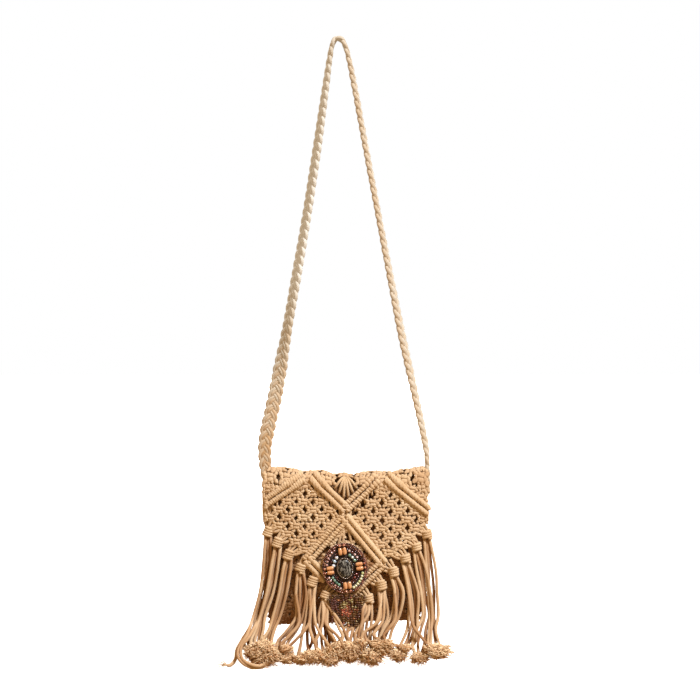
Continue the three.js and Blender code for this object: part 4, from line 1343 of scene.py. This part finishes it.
def barrel_bead():
    bpy.ops.mesh.primitive_circle_add(vertices=20, radius=BARREL_PROFILE[0][0] * MM, fill_type="NGON")
    bead = bpy.context.object
    only(bead)
    bpy.ops.object.mode_set(mode="EDIT")
    bpy.ops.mesh.select_all(action="SELECT")
    bpy.ops.transform.translate(value=(0, 0, BARREL_PROFILE[0][1] * BARREL_HALF * MM))
    for (radius, height), (wider, higher) in zip(BARREL_PROFILE, BARREL_PROFILE[1:]):
        step = (higher - height) * BARREL_HALF * MM
        bpy.ops.mesh.extrude_region_move(TRANSFORM_OT_translate={"value": (0, 0, step)})
        bpy.ops.transform.resize(value=(wider / radius, wider / radius, 1), center_override=(0, 0, 0))
    bpy.ops.mesh.select_all(action="SELECT")
    bpy.ops.mesh.normals_make_consistent(inside=False)
    bpy.ops.object.mode_set(mode="OBJECT")
    bpy.ops.object.shade_smooth_by_angle(angle=math.radians(60))
    bpy.ops.object.transform_apply()
    return bead


first_barrel = barrel_bead()
barrel_places = []
for sign in (1, -1):
    for aside in (-BARREL_APART, BARREL_APART):
        barrel_places += [(aside, sign * BARREL_UP, 0.0), (sign * BARREL_ACROSS, aside, math.pi / 2)]
for number, (across, up, turn) in enumerate(barrel_places, 1):
    bead = put("barrel", first_barrel.data.copy())
    lying = Matrix.Rotation(turn, 4, "Z") @ Matrix.Rotation(math.pi / 2, 4, "X")
    bead.data.transform(Matrix.Translation(Vector((across, up, SEAT + BARREL_RADIUS)) * MM) @ lying)
    hang(bead, f"barrel_bead_{number}_wood", wood.material, "orange_barrels", f"barrel_bead_{number}")
bpy.data.objects.remove(first_barrel)

# %% [markdown]
# Glass beads come by the hundred, so one small ball of a few dozen faces is copied as arrays. Each bead has
# its own colour, kept in a colour attribute, and is turned a little off its neighbours, so that no two catch
# the light alike.

# %% Glass beads


def ball(segments, rings):
    """Points and faces of a closed ball of radius 1."""
    angle = np.pi * np.arange(1, rings)[:, None] / rings
    turn = 2 * np.pi * np.arange(segments) / segments
    spread = (np.sin(angle) * np.cos(turn), np.sin(angle) * np.sin(turn), np.cos(angle))
    body = np.stack(np.broadcast_arrays(*spread), -1)
    points = np.concatenate([body.reshape(-1, 3), [[0, 0, 1]], [[0, 0, -1]]])
    first, beside = np.arange(segments), (np.arange(segments) + 1) % segments
    last = (rings - 2) * segments
    top = np.stack([np.full(segments, len(points) - 2), first, beside], -1)
    foot = np.stack([np.full(segments, len(points) - 1), last + beside, last + first], -1)
    bands = [np.stack([row + first, row + segments + first, row + segments + beside, row + beside], -1)
             for row in range(0, last, segments)]
    return points, [top, np.concatenate(bands), foot]


SEED_BALL = ball(8, 5)
LARGE_BALL = ball(14, 9)


def glass(name, roughness, metallic, coat=0.5):
    finish = Finish(name, Metallic=metallic, Coat_Weight=coat, Coat_Roughness=0.08)
    own = finish.node("ShaderNodeAttribute", {"attribute_name": "bead"})
    depth = finish.noise(finish.node("ShaderNodeTexCoord", output=3), 700.0)
    multiply = {"data_type": "RGBA", "blend_type": "MULTIPLY"}
    deeper = finish.node("ShaderNodeMix", multiply, {0: 0.55, 6: own, 7: depth.of(1)}, output=2)
    return finish.finished(Base_Color=deeper, Roughness=depth * 0.2 + (roughness - 0.1))


def bead_mesh(name, beads, model):
    """One mesh of many beads, each given as its place, its radius, its flatness and its colour."""
    points, blocks = model
    made, faces, colours = [], [[] for _ in blocks], []
    for index, (place, radius, flatness, tone) in enumerate(beads):
        spun = turned(points, hand.uniform(0, 2 * np.pi))
        made.append(spun * radius * [1, 1, flatness] + place)
        for block, rows in zip(blocks, faces):
            rows.append(block + index * len(points))
        colours.append(np.broadcast_to(tone, (len(points), 4)))
    mesh = bpy.data.meshes.new(name)
    corners = [row.tolist() for rows in faces for block in rows for row in block]
    mesh.from_pydata(np.concatenate(made) * MM, [], corners)
    mesh.polygons.foreach_set("use_smooth", np.ones(len(mesh.polygons), bool))
    layer = mesh.attributes.new("bead", "FLOAT_COLOR", "POINT")
    layer.data.foreach_set("color", np.concatenate(colours).astype(np.float32).ravel())
    return mesh


def bead_piece(name, beads, model, material, slot, node, on_medallion=True):
    piece = put(name, bead_mesh(name, beads, model))
    if on_medallion:
        return hang(piece, name, material, slot, node)
    piece.data.materials.append(material)
    return settle(piece, slot, node)


print("points in a seed bead and in a large one:", len(SEED_BALL[0]), len(LARGE_BALL[0]))

# %% [markdown]
# The bezel is a ring of black seed beads round the stone with a thin brown cord inside it, which is a ring of
# beads so close that they merge. The rim is two rows of fine brown seed beads on the edge of the felt. Both
# are even places along an oval.

# %% Bezel and rim
RIM_TONES = palette((160, 104, 86), (112, 66, 52), (78, 40, 32), (186, 134, 110))
BLACK_GLASS = palette((24, 22, 24), (34, 38, 38), (46, 36, 32))
BROWN_CORD = palette((134, 112, 94))
# half sizes of the oval, spacing, bead radius, tones, height
RIM_ROWS = [((28.6, 32.1), 2.25, 1.15, RIM_TONES, -0.1), ((26.6, 30.1), 2.25, 1.15, RIM_TONES, 0.2)]
BEZEL_ROWS = [((11.1, 14.3), 1.95, 1.05, BLACK_GLASS, 0.2), ((10.0, 13.2), 0.8, 0.7, BROWN_CORD, 2.0)]


def oval_row(across, up, spacing):
    """Even places along an oval, as points in its plane."""
    turn = np.linspace(0, 2 * np.pi, 721)
    line = np.stack([across * np.cos(turn), up * np.sin(turn)], -1)
    gone = gone_along(line)
    count = round(gone[-1] / spacing)
    return places_along(line, gone, np.arange(count) * gone[-1] / count)


def seed(x, y, radius, tones, height=0.0):
    place = np.array([x, y, SEAT + radius * 0.9 + height])
    return place, radius * hand.uniform(0.93, 1.05), 0.85, tones[hand.integers(len(tones))]


def ringed(rows):
    return [seed(x, y, radius, tones, height)
            for oval, spacing, radius, tones, height in rows for x, y in oval_row(*oval, spacing)]


plum_glass = glass("plum_seed_beads", 0.24, 0.15)
black_glass = glass("black_bezel_beads", 0.22, 0.2)
bead_piece("medallion_rim_beads", ringed(RIM_ROWS), SEED_BALL, plum_glass, "plum_seed_beads", "medallion_rim")
bead_piece("cabochon_bezel_beads", ringed(BEZEL_ROWS), SEED_BALL, black_glass, "black_bezel_beads",
           "cabochon_bezel")

# %% [markdown]
# In each quarter a short row of larger beads follows the oval, and outside it a row of rosy ones with wide
# gaps. Copper beads end the lanes of the barrels. Dark plum seed beads fill what is left: one goes in
# wherever it clears the larger beads and the barrels, as a bead worker would fill the felt.

# %% Bead fields
PLUM = palette((88, 38, 38), (62, 26, 28), (106, 56, 44), (46, 22, 22))
ROSE = palette((204, 160, 150), (150, 98, 90), (220, 186, 180), (118, 68, 64))
COPPER = palette((206, 142, 112), (190, 116, 92))
WHITE, ICE = colour(238, 240, 242), colour(196, 218, 232)
TEAL, DEEP_TEAL, PALE_TEAL = colour(136, 172, 152), colour(84, 124, 108), colour(206, 218, 210)
CREAM, LIME = colour(236, 238, 200), colour(214, 220, 160)
RED_GLASS = colour(150, 76, 70)
LARGE_ROWS = [
    # field, half sizes of the oval, first and last angle in degrees, bead radius, tones
    (1, (14.9, 18.6), (126, 163), 2.3, [WHITE, ICE, WHITE]),
    (2, (15.7, 19.2), (56, 26), 2.15, [TEAL, PALE_TEAL, TEAL]),
    (4, (19.3, 24.0), (-155, -124), 1.95, [TEAL, TEAL, DEEP_TEAL, TEAL]),
    (3, (23.4, 27.8), (-20, -71), 1.95, [LIME, CREAM, CREAM, LIME, CREAM, CREAM, CREAM]),
    (3, (16.2, 18.4), (-31, -48), 1.55, [RED_GLASS, RED_GLASS]),
]
ROSE_ROWS = [
    # field, half sizes of the oval, first and last angle in degrees, number of beads
    (1, (23.8, 27.4), (116, 164), 6), (2, (20.6, 24.2), (64, 30), 4), (4, (23.8, 27.6), (-160, -104), 7),
]
ROSE_RADIUS = 1.75
COPPER_RADIUS = 1.6
COPPER_OUT = (26.3, 29.9)
COPPER_HEIGHT = 0.6
SEED = 1.35
SEED_APART = 2.7
SEED_SQUEEZE = 0.93
SEED_HEIGHT = -0.5
SEED_ROWS = [(24.2, 27.7), (21.5, 25.0), (18.8, 22.3), (16.1, 19.6), (13.6, 17.0)]
BARREL_LANE = 5.6
FIELDS = {(-1, 1): 1, (1, 1): 2, (1, -1): 3, (-1, -1): 4}


def field_of(x, y):
    return FIELDS[(1 if x > 0 else -1, 1 if y > 0 else -1)]


def arc_places(oval, angles, count):
    turns = np.radians(np.linspace(*angles, count))
    return zip(oval[0] * np.cos(turns), oval[1] * np.sin(turns))


large = {1: [], 2: [], 3: [], 4: []}
for field, oval, angles, radius, tones in LARGE_ROWS:
    for (x, y), tone in zip(arc_places(oval, angles, len(tones)), tones):
        large[field].append((np.array([x, y, SEAT + radius * 0.85]), radius, 0.9, tone))
for field, oval, angles, count in ROSE_ROWS:
    large[field] += [seed(x, y, ROSE_RADIUS, ROSE) for x, y in arc_places(oval, angles, count)]
for aside in (-BARREL_APART, BARREL_APART):
    across, up = COPPER_OUT
    for x, y in ((aside, up), (across, aside), (aside, -up), (-across, aside)):
        large[field_of(x, y)].append(seed(x, y, COPPER_RADIUS, COPPER, COPPER_HEIGHT))


def is_clear(x, y):
    """Whether a seed bead has room here."""
    for place, radius, _, _ in large[field_of(x, y)]:
        if math.hypot(x - place[0], y - place[1]) <= (radius + SEED) * SEED_SQUEEZE:
            return False
    return min(abs(x), abs(y)) > BARREL_LANE


seeds = {1: [], 2: [], 3: [], 4: []}
for oval in SEED_ROWS:
    for x, y in oval_row(*oval, SEED_APART):
        if is_clear(x, y):
            seeds[field_of(x, y)].append(seed(x, y, SEED, PLUM, SEED_HEIGHT))

mixed_glass = glass("mixed_seed_beads", 0.2, 0.0)
for field in large:
    node = f"bead_field_{field}"
    bead_piece(f"{node}_seeds", seeds[field], SEED_BALL, plum_glass, "plum_seed_beads", node)
    bead_piece(f"{node}_large", large[field], LARGE_BALL, mixed_glass, "mixed_seed_beads", node)

# %% [markdown]
# ## The bead tail
# Strings of small beads hang from under the medallion, most of them dark bronze, with a cluster of red ones,
# a few gold and some plum to the left. They are beads on thread, so each string is a row of balls that
# touch. A bead takes the colour of the cluster that it hangs in.

# %% Tail strings
TAIL_Y = -33.7
TAIL_DEPTH = 1.6
TAIL_HEAD_DROP = 162
TAIL_HEAD = (-19, 24)
TAIL_STRINGS = 42
TAIL_END_X = [-19, -8, 4, 12, 18, 24]
TAIL_END = [199, 201, 204, 207, 207, 202]
TAIL_NARROWS = 0.12
TAIL_MIDDLE = 11
TAIL_SEED = 1.6
TAIL_APART = TAIL_SEED * 1.9
ACCENT_SHARE = 0.07
BRONZE = palette((98, 58, 20), (116, 74, 24), (76, 44, 16), (118, 84, 28), (94, 48, 22))
PLUM_TAIL = palette((94, 50, 42), (70, 36, 28), (108, 64, 52))
RED_TAIL = palette((188, 86, 52), (214, 134, 98), (156, 64, 40), (118, 62, 38))
GOLD_TAIL = palette((158, 132, 78), (122, 98, 54), (186, 164, 112))
ACCENT_TAIL = palette((214, 142, 96), (190, 168, 120), (168, 96, 74))
CLUSTERS = [
    # x, drop and half size of a group of one colour
    (3, 183, 8, RED_TAIL), (-1, 175, 5.5, GOLD_TAIL), (9, 169, 4, GOLD_TAIL), (-14, 174, 8, PLUM_TAIL),
    (-16, 192, 7, PLUM_TAIL),
]


def tail_tone(x, drop):
    tones = BRONZE if hand.uniform() > ACCENT_SHARE else ACCENT_TAIL
    for at, down, half, own in CLUSTERS:
        if math.hypot(x - at, drop - down) < half * hand.uniform(0.6, 1.1):
            tones = own
    return tones[hand.integers(len(tones))]


tail = []
for top in np.linspace(*TAIL_HEAD, TAIL_STRINGS) + hand.normal(0, 0.7, TAIL_STRINGS):
    end = np.interp(top, TAIL_END_X, TAIL_END) + hand.normal(0, 1.5)
    drops = np.arange(TAIL_HEAD_DROP + hand.uniform(0, 2), end, TAIL_APART)
    share = (drops - TAIL_HEAD_DROP) / (end - TAIL_HEAD_DROP)
    sway = hand.uniform(0, 6, 2)
    xs = top + (TAIL_MIDDLE - top) * TAIL_NARROWS * share + 1.2 * np.sin(share * 8 + sway[0])
    ys = TAIL_Y + hand.uniform(-TAIL_DEPTH, TAIL_DEPTH) + 0.8 * np.sin(share * 7 + sway[1])
    for x, y, drop in zip(xs, ys, drops):
        tail.append((from_bag(x, y, drop), TAIL_SEED * hand.uniform(0.8, 1.1), 0.85, tail_tone(x, drop)))
bronze_glass = glass("bronze_seed_beads", 0.6, 0.0, 0.05)
bead_piece("bead_tail_strings", tail, SEED_BALL, bronze_glass, "bronze_seed_beads", "bead_tail", False)
print("beads in the tail:", len(tail))

# %% [markdown]
# ## Floor, light and camera
# A plain white floor, which glows a little so that no grey shadow falls on it, gives the clean ground of a
# catalogue picture. It is kept from tinting the bag, so it only shows to the camera.

# %% Floor
FLOOR_HALF = 30.0
FLOOR_CLEAR = 0.6

bpy.ops.mesh.primitive_plane_add(
    size=2 * FLOOR_HALF, location=(0, 0, -(BAG_DROP + FLOOR_DROP + FLOOR_CLEAR) * MM)
)
floor = bpy.context.object
floor.name = "floor"
pale = Finish("pale_floor", Roughness=0.9, Base_Color=colour(250, 250, 250),
              Emission_Color=colour(255, 255, 255), Emission_Strength=0.8)
floor.data.materials.append(pale.material)
floor.visible_diffuse = floor.visible_glossy = False
print("floor at", round(floor.location.z, 4), "m")

# %% [markdown]
# A surround of warm, even light, as from large screens in a studio, lights the bag from all sides. To the
# camera alone it looks white. One broad sun high on the right, in front, models the cords. A weaker and
# softer one behind, on the left, lifts the edges from the ground. Suns light every part of the long strap
# alike, which a lamp close by would not.

# %% Light
SURROUND_LIGHT = 0.62
SURROUND_COLOUR = colour(255, 210, 150)
SUNS = [
    # strength, width in degrees, colour, where it stands
    (5.0, 14, (0.96, 1.0, 1.07), (0.6, -0.65, 1.0)),
    (1.6, 40, (1.0, 1.0, 1.0), (-0.5, 1.0, 0.35)),
]

world = bpy.data.worlds.new("white_surround")
bpy.context.scene.world = world
world.use_nodes = True
surround = world.node_tree.nodes["Background"]
sight = world.node_tree.nodes.new("ShaderNodeLightPath")
seen = world.node_tree.nodes.new("ShaderNodeMix")
seen.data_type = "RGBA"
seen.inputs[6].default_value = [SURROUND_LIGHT * share for share in SURROUND_COLOUR]
seen.inputs[7].default_value = colour(255, 255, 255)
world.node_tree.links.new(sight.outputs["Is Camera Ray"], seen.inputs[0])
world.node_tree.links.new(seen.outputs[2], surround.inputs["Color"])
bpy.context.scene.view_settings.view_transform = "Standard"

for strength, width, tone, stands in SUNS:
    bpy.ops.object.light_add(type="SUN")
    sun = bpy.context.object
    sun.data.energy = strength
    sun.data.angle = math.radians(width)
    sun.data.color = tone
    sun.rotation_euler = Vector(stands).to_track_quat("Z", "Y").to_euler()
    print("sun of strength", strength, "from", stands)

# %% [markdown]
# The camera stands level, nearly three metres in front of the middle of the picture, so the bag is seen
# square on and hardly narrows with distance. The lens follows from how many millimetres one pixel covers.

# %% Camera
PIXEL = 1.317
PICTURE = 700
CAMERA_AWAY = 2700
SHARP_PLANE = 12
PICTURE_MIDDLE = (15.8, -408)
SENSOR = 36

bpy.ops.object.camera_add(
    location=(PICTURE_MIDDLE[0] * MM, -CAMERA_AWAY * MM, PICTURE_MIDDLE[1] * MM), rotation=(math.pi / 2, 0, 0)
)
camera = bpy.context.object
camera.data.sensor_width = SENSOR
camera.data.lens = SENSOR * (CAMERA_AWAY - SHARP_PLANE) / (PICTURE * PIXEL)
camera.data.clip_end = 200
bpy.context.scene.camera = camera
print("lens", round(camera.data.lens, 1), "mm")
